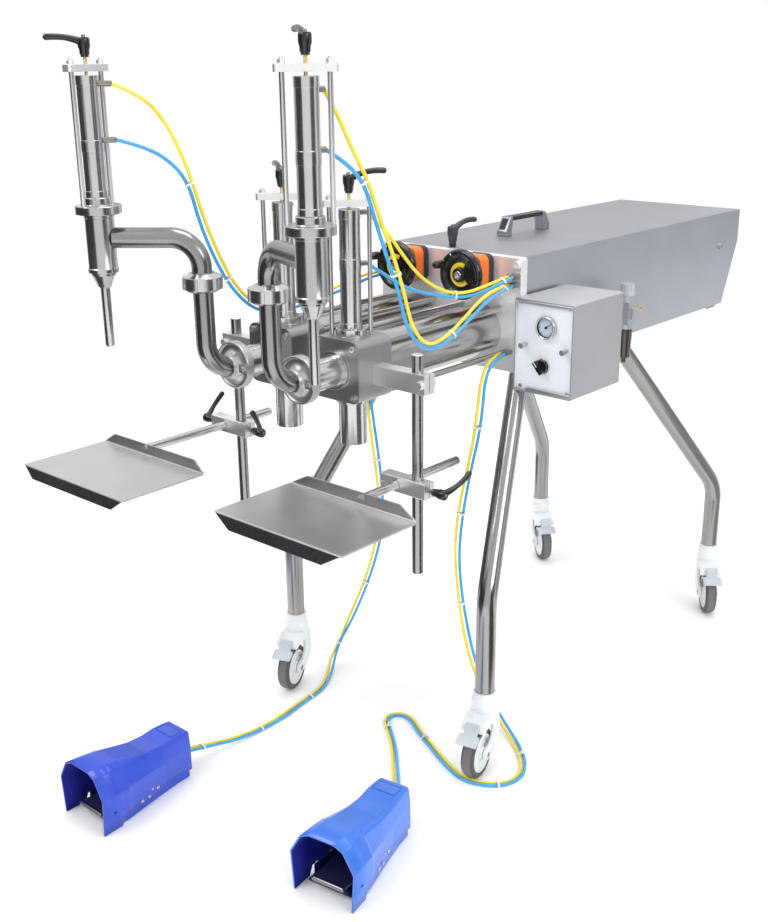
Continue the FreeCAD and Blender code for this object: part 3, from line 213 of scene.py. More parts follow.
def banded(name, base, cuts, rough=0.34):
    """Plastic in bands along Y: (from y in machine mm, colour)."""
    mt = plastic(name, base, rough, 0.12)
    nt = mt.node_tree
    b = nt.nodes["Principled BSDF"]
    tc = nt.nodes.new("ShaderNodeTexCoord")
    sp = nt.nodes.new("ShaderNodeSeparateXYZ")
    nt.links.new(tc.outputs["Object"], sp.inputs["Vector"])
    mr = nt.nodes.new("ShaderNodeMapRange")
    mr.inputs["From Min"].default_value = (-100 + SHIFT[1]) / 1000
    mr.inputs["From Max"].default_value = (0 + SHIFT[1]) / 1000
    nt.links.new(sp.outputs["Y"], mr.inputs["Value"])
    r = nt.nodes.new("ShaderNodeValToRGB")
    r.color_ramp.interpolation = "CONSTANT"
    el = r.color_ramp.elements
    while len(el) < len(cuts):
        el.new(0.5)
    for e, (y, c) in zip(el, cuts):
        e.position = (y + 100) / 100
        e.color = (*c, 1)
    nt.links.new(mr.outputs["Result"], r.inputs["Fac"])
    n = node(nt, "ShaderNodeTexNoise", Scale=40.0)
    nt.links.new(coords(nt), n.inputs["Vector"])
    mx = nt.nodes.new("ShaderNodeMixRGB")
    mx.blend_type = "MULTIPLY"
    mx.inputs["Fac"].default_value = 0.25
    nt.links.new(r.outputs["Color"], mx.inputs["Color1"])
    nt.links.new(n.outputs["Fac"], mx.inputs["Color2"])
    nt.links.new(mx.outputs["Color"], b.inputs["Base Color"])
    return mt


M["indicator"] = banded("indicator_bands", (0.86, 0.20, 0.02), [(-100, (1.0, 0.20, 0.006)), (-36, (0.018, 0.018, 0.018))])
M["yellow"] = plastic("plastic_yellow", (0.88, 0.66, 0.03), 0.35, 0.10)
M["white"] = plastic("plastic_white", (0.80, 0.83, 0.84), 0.30, 0.12, coat=0.2)
M["pale_grey"] = plastic("plastic_pale_grey", (0.54, 0.58, 0.63), 0.34, 0.2)
M["box"] = steel("box_grey", 0.60, 0.50, (1, 40, 40), 5, 0.08, tint=(0.99, 1.0, 1.02), edge=0.0015)
M["panel"] = steel("lip_silver", 0.62, 0.36, (40, 1, 1), 6, 0.06)
M["foil"] = plastic("panel_foil", (0.77, 0.79, 0.84), 0.34, 0.05, coat=0.15, dark=0.97)
M["bowl"] = plastic("bowl_smoked", (0.045, 0.035, 0.030), 0.12, 0.02, coat=0.6)
M["knob_grey"] = plastic("knob_grey", (0.44, 0.47, 0.52), 0.22, 0.08, coat=0.3)
M["blue"] = plastic("paint_blue", (0.013, 0.066, 0.60), 0.34, 0.10, coat=0.4, edge=0.0025, dark=0.88)
M["blue_light"] = plastic("paint_blue_light", (0.036, 0.175, 0.72), 0.34, 0.10, coat=0.4, edge=0.0025, dark=0.88)
M["hose_blue"] = plastic("hose_blue", (0.040, 0.37, 0.74), 0.22, 0.05, coat=0.4, edge=0)
M["hose_yellow"] = plastic("hose_yellow", (0.90, 0.72, 0.045), 0.24, 0.05, coat=0.3, edge=0)
M["tie"] = plastic("tie_white", (0.86, 0.86, 0.84), 0.4, 0.05, edge=0)
M["tyre"] = plastic("tyre", (0.160, 0.152, 0.146), 0.60, 0.5, scale=500.0)
M["tyre_side"] = plastic("tyre_side", (0.085, 0.082, 0.080), 0.55, 0.4, scale=500.0)
M["treadle"] = steel("treadle_metal", 0.50, 0.34, None, 60, 0.10, edge=0.003)
# Dark navy for the pedal base and for the inner faces of the guard's skirt: the base's own dark plastic, and painted
# shade on the skirt's inner side.
M["base_dark"] = plastic("pedal_base_dark", (0.012, 0.018, 0.110), 0.5, 0.3)
# Dark blue for the guard's inner walls and hole discs: painted shade, the inner side of the same blue moulding darkened
# as if in shadow, with low specular to keep it dark.
M["inside"] = plastic("guard_inside", (0.010, 0.016, 0.24), 0.6, 0.1)
M["inside"].node_tree.nodes["Principled BSDF"].inputs["Specular IOR Level"].default_value = 0.12
M["nose"] = steel("treadle_nose", 0.30, 0.30, None, 60, 0.10)


def set_all(name, mat):
    o = N[name]
    o.data.materials.clear()
    o.data.materials.append(mat)
    for p in o.data.polygons:
        p.material_index = 0


def set_by(name, mats, pick):
    """Material of each face from its centre (machine mm) and normal."""
    o = N[name]
    o.data.materials.clear()
    for mt in mats:
        o.data.materials.append(mt)
    for p in o.data.polygons:
        c = p.center
        p.material_index = pick(Vector((c.x * 1000 - SHIFT[0], c.y * 1000 - SHIFT[1], c.z * 1000 - SHIFT[2])), p.normal)


SIDES = {"left": -1, "right": 1}
BARS_Z = (1096.0, 1314.0)
M["plate"].node_tree.nodes["Principled BSDF"].inputs["Metallic"].default_value = 0.55
HEAD = {"left": (-212.0, -680.0), "right": (237.0, -634.0)}
set_all("front_plate", M["plate"])
set_all("bed_frame", M["bed"])
set_all("front_legs", M["tube"])
set_all("rear_legs", M["tube"])
set_all("metering_cylinders", M["barrel"])
set_by("valve_bodies", [M["block"], M["polished"]], lambda c, n: 0 if (abs(c.y + 388) < 43 and 762 < c.z < 873) else 1)
set_by("delivery_pipes", [M["pipe"], M["ferrule"], M["polished"]], lambda c, n: 1 if c.y > -538 and c.z < 862 and math.hypot(abs(c.x) - 81, c.z - 817.5) > 17.6 else 2 if 955 < c.z < 990 and math.hypot(abs(c.x) - 81, c.y + 577) > 17.4 else 0)
set_all("nozzle_bodies", M["turned"])
set_all("air_actuators", M["polished"])
set_by("stop_frames", [M["polished"], M["satin"]], lambda c, n: 1 if (c.z > BARS_Z[1] - 8.6 if c.z > 1200 else c.z > BARS_Z[0] - 8.6) else 0)
set_by("post_brackets", [M["satin"], M["tube"]], lambda c, n: 1 if math.hypot(abs(c.x) - 226, c.y + 383) < 19.5 and abs(n.z) < 0.5 and c.z < 790 else 1 if c.z < 700 else 0)
set_by("control_box", [M["box"], M["foil"], M["black"], M["polished"]], lambda c, n: 2 if (math.hypot(c.x - 245, c.z - 845) < 21 and c.y < -20) else 3 if (c.y < -29.9 and any(math.hypot(c.x - 175 - a, c.z - b) < 5 for a, b in ((13, 886), (119, 886), (13, 724), (119, 724)))) else 1 if (-31 < c.y < -26 and abs(c.x - 240) < 63) else 0)
set_by("air_unit", [M["box"], M["brass"], M["dark_steel"], M["bowl"]], lambda c, n: 1 if c.y > 333.9 else 3 if c.z < 777.95 and c.x > 190 else 2 if c.x < 191.9 else 0)
set_all("position_indicators", M["indicator"])
set_by("pedal_housings", [M["blue"], M["treadle"], M["dark_steel"]], lambda c, n: 0)
set_all("hose_fittings", M["nickel"])
# top faces take the darker copy of the sheet steel: painted shade on the hood's top
set_by("hood_cover", [M["sheet"], M["sheet_top"], M["dark_steel"]], lambda c, n: 1 if n.z > 0.9 and c.z > 960 else 2 if c.z < 741.5 else 0)
for s in SIDES:
    set_all("metering_piston_" + s, M["polished"])
    set_all("cut_off_plunger_" + s, M["polished"])
    hx, hy = HEAD[s]
    set_by("stroke_lever_" + s, [M["charcoal"], M["brass"]], lambda c, n: 1 if c.z < 1329.5 and math.hypot(c.x - hx, c.y - hy) < 4 else 0)
    set_by("inlet_lever_" + s, [M["charcoal"], M["brass"]], lambda c, n: 1 if c.z < 1111.5 else 0)
    set_all("cross_clamp_" + s, M["satin"])
    ty0, ty1 = {"left": (-768.0, -591.0), "right": (-667.0, -489.0)}[s]
    # top faces and the back lip's front take the lighter copy, the other faces the darker copy: painted light and
    # painted shade on one sheet
    set_by("tray_" + s, [M["tray_top"], M["tray"], M["polished"]], lambda c, n, ty0=ty0, ty1=ty1: 2 if c.y > ty1 + 4.5 else 0 if n.z > 0.9 or (n.y < -0.5 and c.y > ty1 - 9) else 1)
    set_all("post_lever_" + s, M["charcoal"])
    set_all("treadle_" + s, M["treadle"])
    set_by("handwheel_" + s, [M["black"], M["polished"]], lambda c, n: 1 if c.y > -64 else 0)
    set_all("flow_screw_" + s, M["polished"])
set_all("rod_lever_left", M["charcoal"])
set_all("hood_lever", M["charcoal"])
set_all("hood_handle", M["black"])
set_all("regulator_knob", M["knob_grey"])
set_all("selector_knob", M["black"])
set_all("gauge_needle", M["black"])
CASTERS = {"front_left": (-260.0, -223.0, -69.0), "front_right": (260.0, -223.0, -77.0), "rear_left": (-252.0, 711.0, -40.0), "rear_right": (252.0, 711.0, -52.0)}
TRAIL, WHEEL_R = 33.0, 50.0
for n, (fx, fy, az) in CASTERS.items():
    a = math.radians(az)
    cx, cy = fx + TRAIL * math.cos(a), fy + TRAIL * math.sin(a)
    set_all("caster_fork_" + n, M["white"])
    set_all("brake_pedal_" + n, M["pale_grey"])

    def wheel_pick(c, nn, cx=cx, cy=cy, a=a):
        along = (c.x - cx) * math.cos(a) + (c.y - cy) * math.sin(a)
        r = math.hypot(along, c.z - WHEEL_R)
        side = abs(-(c.x - cx) * math.sin(a) + (c.y - cy) * math.cos(a))
        return 2 if r < 38.5 else 1 if side > 9 else 0
    set_by("wheel_" + n, [M["tyre"], M["tyre_side"], M["white"]], wheel_pick)


# ------------------------------------------------------------------ mesh helpers
def obj_from(name, bm, mats, body, smooth=True, angle=35.0):
    me = bpy.data.meshes.new(name)
    bmesh.ops.recalc_face_normals(bm, faces=bm.faces)
    bm.to_mesh(me)
    bm.free()
    o = bpy.data.objects.new(name, me)
    scene.collection.objects.link(o)
    for mt in mats if isinstance(mats, (list, tuple)) else [mats]:
        me.materials.append(mt)
    if smooth:
        for p in me.polygons:
            p.use_smooth = True
        me.set_sharp_from_angle(angle=math.radians(angle))
    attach(o, body)
    return o


def frame_at(origin, direction, roll=None):
    """Matrix whose Z runs along direction, from machine millimetres."""
    z = Vector(direction).normalized()
    x = Vector(roll) if roll is not None else (Vector((0, 0, 1)) if abs(z.z) < 0.9 else Vector((1, 0, 0)))
    x = (x - z * x.dot(z)).normalized()
    y = z.cross(x)
    mm = Matrix((x, y, z)).transposed().to_4x4()
    mm.translation = P(*origin)
    return mm


def lathe(bm, prof, mat4, seg=48, close=True, a0=0.0, a1=360.0, index=0):
    """Turns (radius, height) in mm about the matrix's Z."""
    full = abs(a1 - a0) > 359.9
    n = seg if full else max(2, int(seg * (a1 - a0) / 360)) + 1
    rings = []
    for i in range(n):
        t = math.radians(a0 + (a1 - a0) * i / (n if full else n - 1))
        rings.append([bm.verts.new(mat4 @ Vector((r * math.cos(t) / 1000, r * math.sin(t) / 1000, z / 1000))) for r, z in prof])
    m_ = len(prof)
    for i in range(n if full else n - 1):
        a, b = rings[i], rings[(i + 1) % n]
        for j in range(m_ if close else m_ - 1):
            k = (j + 1) % m_
            q = [a[j], b[j], b[k], a[k]]
            if prof[j][0] < 1e-6:
                q = [a[j], b[k], a[k]]
            elif prof[k][0] < 1e-6:
                q = [a[j], b[j], a[k]]
            try:
                f = bm.faces.new(q)
                f.material_index = index
            except ValueError:
                pass
    if not full and close:
        for rg in (rings[0], rings[-1]):
            try:
                f = bm.faces.new(rg)
                f.material_index = index
            except ValueError:
                pass
    bmesh.ops.remove_doubles(bm, verts=bm.verts, dist=1e-7)


def block(bm, mat4, size, bevel=0.0, seg=2, centre=(0, 0, 0), index=0):
    t = bmesh.new()
    bmesh.ops.create_cube(t, size=1.0)
    bmesh.ops.scale(t, verts=t.verts, vec=[s / 1000 for s in size])
    bmesh.ops.translate(t, verts=t.verts, vec=[c / 1000 for c in centre])
    if bevel:
        bmesh.ops.bevel(t, geom=list(t.edges), offset=bevel / 1000, segments=seg, affect="EDGES", profile=0.5)
    for f in t.faces:
        f.material_index = index
    bmesh.ops.transform(t, matrix=mat4, verts=t.verts)
    me = bpy.data.meshes.new("block")
    t.to_mesh(me)
    t.free()
    bm.from_mesh(me)
    bpy.data.meshes.remove(me)


# ------------------------------------------------------------------ hoses
HOSES = {
    ("head_left", "yellow"): [
        (-185.1, -653.1, 1290), (-166, -606, 1270), (-157, -568, 1222), (-149, -546, 1168), (-143.8, -531.2, 1120.8), (-138.7, -518.1, 1065.6),
        (-130.7, -496.8, 1003.3), (-123.9, -469, 944), (-122.1, -421.3, 901.1), (-129.9, -358.3, 889.2), (-128.9, -292.3, 891.8), (-124.8, -226.5, 901.4),
        (-126.7, -160.7, 911.5), (-138.4, -94.8, 915.1), (-150.5, -38, 908),
    ],
    ("head_left", "blue"): [
        (-185.1, -653.1, 1203), (-168, -603, 1189), (-152, -560, 1156), (-148.2, -536.8, 1119.2), (-144.1, -525.2, 1063), (-136.2, -504.2, 999.6),
        (-127.5, -474.5, 939.6), (-123.6, -425.4, 893.1), (-127.7, -358.9, 879.5), (-126.1, -291.7, 884), (-121.5, -225.5, 893.3), (-122.8, -159.3, 902.4),
        (-135.6, -94.2, 906.9), (-139.5, -38, 908),
    ],
    ("head_right", "yellow"): [
        (242.2, -604.5, 1285), (245, -578, 1246), (240.5, -546, 1197), (239, -510.6, 1149.1), (235.5, -484.6, 1096), (235.2, -453.3, 1034.6),
        (231.9, -424.4, 972.1), (232, -404.1, 907.3), (223.5, -355.3, 866.6), (210.1, -291, 866.6), (199.2, -226.8, 886.9), (189.4, -163.4, 912.4),
        (176.7, -96, 920.3), (158, -38, 914.5),
    ],
    ("head_right", "blue"): [
        (242.2, -604.5, 1203), (241.5, -560, 1181), (234, -515.4, 1146.9), (231.3, -490.6, 1093.2), (227.4, -460, 1031.7), (226.4, -429.8, 970.2),
        (226.2, -410.1, 903.7), (222.9, -358.8, 857.3), (214.9, -289.2, 860), (205.1, -223.9, 881.2), (195.8, -160.5, 905.2), (181, -94.6, 912.9),
        (169, -38, 914.5),
    ],
    ("inlet", "yellow"): [
        (89.3, -357, 1079), (104, -327, 1052), (114, -295, 1005), (122.5, -252, 955), (134.7, -197.4, 922.5), (145.2, -147.8, 914.7),
        (156.5, -89.1, 925.1), (158, -38, 931),
    ],
    ("inlet", "blue"): [
        (89.3, -357, 993), (105, -322, 967), (119, -275, 936), (135.3, -198.6, 915.5), (147.2, -148.1, 907.5), (160, -88.3, 917.6),
        (169, -38, 931),
    ],
    ("pedal_left", "yellow"): [
        (-155.5, -38, 782), (-153.3, -79, 778.4), (-153.2, -108.1, 747.5), (-147.8, -110.5, 693.3), (-141.9, -106, 626.1), (-134.7, -104.2, 559.1),
        (-123.1, -104.3, 492.8), (-117, -103.1, 426.2), (-123.6, -103, 359.8), (-140.1, -102.5, 295), (-163.8, -102.2, 232.3), (-192.4, -100.4, 171.5),
        (-221.6, -102, 110.8), (-246, -102.5, 52.8), (-252, -127, 18.4), (-226, -164, 3.4), (-190, -222, 3.1), (-184, -288.7, 3.1),
        (-173.3, -354.3, 3.2), (-170.8, -420.9, 3.1), (-178.7, -487.5, 7.1), (-184.2, -553, 21.9), (-189.2, -610.1, 37),
    ],
    ("pedal_left", "blue"): [
        (-144.5, -38, 782), (-146.7, -74.2, 773.4), (-145.7, -101.7, 746.1), (-141, -104, 693.9), (-136.4, -100.7, 626.9), (-127.7, -97.3, 560.2),
        (-116.5, -98, 493.7), (-111.1, -97.6, 426.2), (-115.9, -96.8, 358.5), (-133.2, -97.5, 292.8), (-157.2, -97.8, 229.5), (-184.6, -97.6, 167.7),
        (-214.9, -97.9, 107.5), (-240.5, -109.1, 52.8), (-242, -124.8, 18.4), (-217.5, -159.5, 3.4), (-182.6, -219.5, 3.1), (-176, -286.8, 3.1),
        (-163.7, -353.3, 3.2), (-163.5, -421.2, 3.1), (-169, -488.4, 7.1), (-174.7, -553.7, 21.9), (-175.2, -609.9, 37),
    ],
    ("pedal_right", "yellow"): [
        (144.5, -38, 782), (148.1, -79, 777.4), (151.1, -107.5, 745.7), (146.4, -110.5, 690.4), (135.2, -106, 626), (119.4, -103.3, 562.4),
        (103.5, -102.3, 498.5), (91.4, -101.6, 433.5), (86.4, -100.8, 367.5), (91.9, -99.4, 301.6), (101.1, -99, 236.3), (114.8, -97.5, 171.6),
        (134.8, -94, 108.5), (170.8, -89.8, 53.6), (212.2, -96.7, 11.3), (265.3, -127.7, 3.1), (314.8, -168.9, 3.1), (340.7, -218.4, 3.1),
        (320.5, -264, 3.1), (264.7, -287.3, 3.1), (205.6, -266.9, 3.1), (146, -239.7, 3.1), (88.6, -210.9, 3.1), (48.4, -187, 3.1),
        (17, -183.7, 3.1), (-2.6, -204.8, 3.1), (5.8, -233.3, 3.1), (38.6, -258.3, 3.1), (85, -297.2, 3.1), (128.7, -346, 3.1),
        (174, -393.7, 4.2), (218.1, -440.7, 16), (250, -476.5, 38),
    ],
    ("pedal_right", "blue"): [
        (155.5, -38, 782), (154.3, -75.8, 773.8), (157.2, -103.3, 744.4), (154.5, -104.8, 689.5), (142.5, -101, 624.7), (125.5, -99.2, 561),
        (111.1, -97.2, 497), (99.5, -95.8, 432.5), (93.5, -95.2, 367.6), (97.6, -94.6, 302.3), (108, -92.9, 237.7), (121.9, -90.7, 173.7),
        (140.5, -87.6, 111.4), (170.9, -82.4, 53.6), (215.5, -88.1, 11.3), (271, -119.5, 3.1), (321.9, -163.1, 3.1), (348.2, -218, 3.1),
        (326.4, -270.4, 3.1), (265, -297.2, 3.1), (201.9, -275.8, 3.1), (143.1, -245.9, 3.1), (84.5, -218.5, 3.1), (45.6, -194, 3.1),
        (19.3, -190.8, 3.1), (4.8, -206.3, 3.1), (11.6, -228.6, 3.1), (43.3, -252.4, 3.1), (90.2, -291.7, 3.1), (136.4, -338.9, 3.1),
        (181.3, -386.9, 4.2), (224.7, -434.6, 16), (263.8, -474.1, 38),
    ],
}
TIES = {"head_left": (146, 326), "head_right": (100, 269, 525, 736), "inlet": (207, 328), "pedal_left": (298, 604, 792, 987, 1146, 1298), "pedal_right": (173, 370, 569, 765, 947, 1080, 1315, 1483)}


def nurbs_curve(name, pts, radius, mat):
    cu = bpy.data.curves.new(name, "CURVE")
    cu.dimensions = "3D"
    sp = cu.splines.new("NURBS")
    sp.points.add(len(pts) - 1)
    for i, p in enumerate(pts):
        sp.points[i].co = (*P(*p), 1.0)
    sp.order_u = 3
    sp.use_endpoint_u = True
    sp.resolution_u = 10
    cu.bevel_depth = radius
    cu.bevel_resolution = 5
    cu.use_fill_caps = True
    cu.materials.append(mat)
    o = bpy.data.objects.new(name, cu)
    scene.collection.objects.link(o)
    return o


def line_of(pts):
    """Points on the smooth line of a hose, read back from its spline."""
    cu = bpy.data.curves.new("tmp", "CURVE")
    cu.dimensions = "3D"
    sp = cu.splines.new("NURBS")
    sp.points.add(len(pts) - 1)
    for i, p in enumerate(pts):
        sp.points[i].co = (*P(*p), 1.0)
    sp.order_u = 3
    sp.use_endpoint_u = True
    sp.resolution_u = 12
    o = bpy.data.objects.new("tmp", cu)
    scene.collection.objects.link(o)
    bpy.context.view_layer.update()
    me = bpy.data.meshes.new_from_object(o.evaluated_get(bpy.context.evaluated_depsgraph_get()))
    out = [v_.co.copy() for v_ in me.vertices]
    bpy.data.objects.remove(o)
    bpy.data.curves.remove(cu)
    bpy.data.meshes.remove(me)
    return out


def arc_length(line):
    s = [0.0]
    for a, b in zip(line, line[1:]):
        s.append(s[-1] + (b - a).length)
    return s


def at(line, s, d):
    d = max(0.0, min(s[-1], d))
    for i in range(1, len(s)):
        if s[i] >= d:
            t = (d - s[i - 1]) / max(1e-9, s[i] - s[i - 1])
            return line[i - 1].lerp(line[i], t), (line[i] - line[i - 1]).normalized()
    return line[-1], (line[-1] - line[-2]).normalized()


def tie(name, pa, pb, t):
    """A cable tie: a flat band round both tubes, its square head and a cut tail."""
    bm = bmesh.new()
    mid = (pa + pb) / 2
    d = pb - pa
    d = d - t * d.dot(t)
    half = d.length / 2
    x = d.normalized() if half > 1e-5 else t.orthogonal().normalized()
    y = t.cross(x)
    prof, n = [], 10
    for r in (0.0034, 0.0044):
        ring = []
        for k in range(n):
            a = -math.pi / 2 + math.pi * k / (n - 1)
            ring.append((half + r * math.cos(a), r * math.sin(a)))
        for k in range(n):
            a = math.pi / 2 + math.pi * k / (n - 1)
            ring.append((-half + r * math.cos(a), r * math.sin(a)))
        prof.append(ring)
    w = 0.0017
    loops = []
    for ring in prof:
        for s_ in (-w, w):
            loops.append([bm.verts.new(mid + x * u + y * v_ + t * s_) for u, v_ in ring])
    k = len(prof[0])
    for i in range(k):
        j = (i + 1) % k
        bm.faces.new([loops[0][i], loops[0][j], loops[1][j], loops[1][i]])
        bm.faces.new([loops[2][i], loops[3][i], loops[3][j], loops[2][j]])
        bm.faces.new([loops[0][i], loops[2][i], loops[2][j], loops[0][j]])
        bm.faces.new([loops[1][i], loops[1][j], loops[3][j], loops[3][i]])
    for size, c in (((0.0048, 0.0036, 0.0046), (half * 0.3, 0.0058, 0)), ((0.0026, 0.0085, 0.0012), (half * 0.3 + 0.001, 0.0095, 0))):
        r = bmesh.ops.create_cube(bm, size=1.0)
        bmesh.ops.scale(bm, verts=r["verts"], vec=size)
        bmesh.ops.translate(bm, verts=r["verts"], vec=c)
        mm = Matrix((x, y, t)).transposed().to_4x4()
        mm.translation = mid
        bmesh.ops.transform(bm, matrix=mm, verts=r["verts"])
    return obj_from(name, bm, M["tie"], "frame", smooth=False)


lines = {k: line_of(v) for k, v in HOSES.items()}
for where, marks in TIES.items():
    ly, lb = lines[(where, "yellow")], lines[(where, "blue")]
    sy, sb = arc_length(ly), arc_length(lb)
    for i, mm in enumerate(marks):
        pb, tb = at(lb, sb, mm / 1000)
        pa = min(ly, key=lambda q: (q - pb).length)
        tie("tie_%s_%d" % (where, i), pa, pb, tb)
    for colour in ("yellow", "blue"):
        pts = HOSES[(where, colour)]
        o = nurbs_curve("hose_%s_%s" % (where, colour), pts, 0.003, M["hose_" + colour])
        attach(o, "frame")
        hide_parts("hose_pair_" + where)

# ------------------------------------------------------------------ detail pieces
def prism_piece(bm, outline, mat4, depth, index=0):
    """Extrudes a closed outline (u, v in mm) by depth along the matrix's Z."""
    a = [bm.verts.new(mat4 @ Vector((u / 1000, v_ / 1000, 0))) for u, v_ in outline]
    b = [bm.verts.new(mat4 @ Vector((u / 1000, v_ / 1000, depth / 1000))) for u, v_ in outline]
    fs = [bm.faces.new(a), bm.faces.new(b)]
    for i in range(len(a)):
        j = (i + 1) % len(a)
        fs.append(bm.faces.new([a[i], a[j], b[j], b[i]]))
    for f in fs:
        f.material_index = index
    return a + b


def bevel_mod(o, width, seg=3, angle=30):
    md = o.modifiers.new("Bevel", "BEVEL")
    md.width = width / 1000
    md.segments = seg
    md.limit_method = "ANGLE"
    md.angle_limit = math.radians(angle)
    md.harden_normals = False
    return o


def catmull(ps, n):
    out = []
    for i in range(len(ps) - 1):
        p0, p1, p2, p3 = ps[max(0, i - 1)], ps[i], ps[i + 1], ps[min(len(ps) - 1, i + 2)]
        for k in range(n):
            t = k / n
            out.append([0.5 * (2 * b_ + (c_ - a_) * t + (2 * a_ - 5 * b_ + 4 * c_ - d_) * t * t + (3 * b_ - a_ - 3 * c_ + d_) * t ** 3) for a_, b_, c_, d_ in zip(p0, p1, p2, p3)])
    out.append(list(ps[-1]))
    return out


# ---- clamping levers: turned hub, drop-forged arm with a swollen end, brass stud
def lever(name, body, c, axis, tip, hub_r, hub_h, arm, drop, stud=None):
    axv = Vector(axis).normalized()
    out = Vector(tip)
    out = (out - axv * out.dot(axv)).normalized()
    side = axv.cross(out)
    bm = bmesh.new()
    M0 = frame_at(c, axv, out)
    r, h = hub_r, hub_h
    lathe(bm, [(0, h * 0.13), (r * 0.82, h * 0.13), (r * 0.86, h * 0.15), (r * 0.88, h * 0.34), (r * 0.96, h * 0.44), (r * 1.05, h * 0.52), (r * 1.08, h * 0.60), (r * 1.08, h * 0.88), (r * 1.02, h * 0.96), (r * 0.92, h), (r * 0.46, h), (0, h)], M0, 40, close=False)
    lathe(bm, [(0, 0), (r * 0.66, 0), (r * 0.72, 0.5), (r * 0.72, h * 0.14), (0, h * 0.14)], M0, 32, close=False)
    lathe(bm, [(0, h - 0.6), (r * 0.36, h - 0.6), (r * 0.36, h + 3.2), (r * 0.30, h + 4.0), (r * 0.18, h + 4.0), (r * 0.17, h + 2.6), (0, h + 2.6)], M0, 24, close=False, index=1)
    cc = P(*c)
    p0 = cc + axv * (h * 0.70 / 1000)
    p1 = p0 + out * ((r + arm * 0.30) / 1000) + axv * (arm * drop * 1.25 / 1000)
    p2 = p0 + out * ((r + arm) / 1000) + axv * (arm * drop / 1000)
    n, k = 18, 16
    rings = []
    for i in range(n + 1):
        t = i / n
        p = p0 * (1 - t) ** 2 + p1 * 2 * t * (1 - t) + p2 * t ** 2
        tan = ((p1 - p0) * (1 - t) + (p2 - p1) * t).normalized()
        upv = side.cross(tan).normalized()
        wdt = (0.80 - 0.26 * t / 0.5 if t < 0.5 else 0.54 + 0.12 * (t - 0.5) / 0.5) * r / 1000
        hgt = (0.72 - 0.20 * t / 0.5 if t < 0.5 else 0.52 + 0.04 * (t - 0.5) / 0.5) * r / 1000
        rings.append([bm.verts.new(p + side * (wdt * math.cos(2 * math.pi * j / k)) - upv * (hgt * math.sin(2 * math.pi * j / k))) for j in range(k)])
    tan = (p2 - p1).normalized()
    upv = side.cross(tan).normalized()
    for q, s_ in ((0.35, 0.93), (0.70, 0.72), (0.95, 0.36)):
        rings.append([bm.verts.new(p2 + tan * (q * 0.52 * r / 1000) + side * (0.66 * s_ * r / 1000 * math.cos(2 * math.pi * j / k)) - upv * (0.56 * s_ * r / 1000 * math.sin(2 * math.pi * j / k))) for j in range(k)])
    for a_, b_ in zip(rings, rings[1:]):
        for j in range(k):
            bm.faces.new([a_[j], a_[(j + 1) % k], b_[(j + 1) % k], b_[j]])
    bm.faces.new(rings[-1])
    o = obj_from("lever_" + name, bm, [M["charcoal" if name == "hood_lever" else "lever_black"], M["dark_steel"]], body, angle=50)
    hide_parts(name)
    if stud:
        s0, s1, sr, mat = stud
        bm = bmesh.new()
        L = (Vector(s1) - Vector(s0)).length
        prof = [(0, 0), (sr, 0)]
        q = 2.0
        while q < L - 1:
            prof += [(sr, q), (sr * 0.88, q + 0.35), (sr, q + 0.7)]
            q += 1.4
        prof += [(sr, L), (0, L)]
        lathe(bm, prof, frame_at(s0, Vector(s1) - Vector(s0)), 20, close=False)
        s_o = obj_from("stud_" + name, bm, M[mat], body, angle=50)
        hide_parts(name)
    return o


BAR_Z_V, AIR_Z1_V, INBAR_Z_V, INAIR_Z1_V = 1314.0, 1303.0, 1096.0, 1086.0
POSTX, POSTY = 226.0, -383.0
CZ = {"left": 640.5, "right": 622.7}
HX_ = 81.0
for s, sx, tip, arm, drop in (("left", -1, (-0.57, -0.82, 0), 48.0, 0.20), ("right", 1, (-0.848, 0.53, 0), 52.0, 0.2769)):
    hx, hy = HEAD[s]
    lever("stroke_lever_" + s, "stroke_lever_" + s, (hx, hy, BAR_Z_V + 16), (0, 0, 1), tip, 9.0, 30.0, arm, drop, ((hx, hy, AIR_Z1_V - 14), (hx, hy, BAR_Z_V + 17), 3.0, "brass"))
for s, sx, tip, arm, drop in (("left", -1, (-0.829, 0.559, 0), 52.0, 0.28), ("right", 1, (0.53, 0.848, 0), 52.0, 0.26)):
    x = sx * HX_
    lever("inlet_lever_" + s, "inlet_lever_" + s, (x, -388.0, INBAR_Z_V + 16), (0, 0, 1), tip, 9.0, 30.0, arm, drop, ((x, -388.0, INAIR_Z1_V - 14), (x, -388.0, INBAR_Z_V + 17), 3.0, "brass"))
for s, sx in (("left", -1), ("right", 1)):
    px, z = sx * POSTX, CZ[s]
    lever("post_lever_" + s, "post_lever_" + s, (px + 34, POSTY, z), (1, 0, 0), (0, 0.91, 0.41) if s == "right" else (0, -0.5, 0.866), 8.5, 28.0, 54.0 if s == "right" else 48.0, 0.26, ((px + 26.3, POSTY, z), (px + 35, POSTY, z), 3.5, "dark_steel"))
lever("rod_lever_left", "rod_lever_left", (-POSTX - 82, POSTY, CZ["left"]), (-1, 0, 0), (0, 0.77, 0.64), 8.5, 26.0, 52.0, 0.14, ((-POSTX - 74.3, POSTY, CZ["left"]), (-POSTX - 83, POSTY, CZ["left"]), 3.5, "dark_steel"))
lever("hood_lever", "hood_lever", (-25, 24, 969), (0, 0, 1), (0.105, 0.995, 0), 10.0, 34.0, 52.0, 0.34, ((-25, 24, 963), (-25, 24, 970), 7.4, "black"))

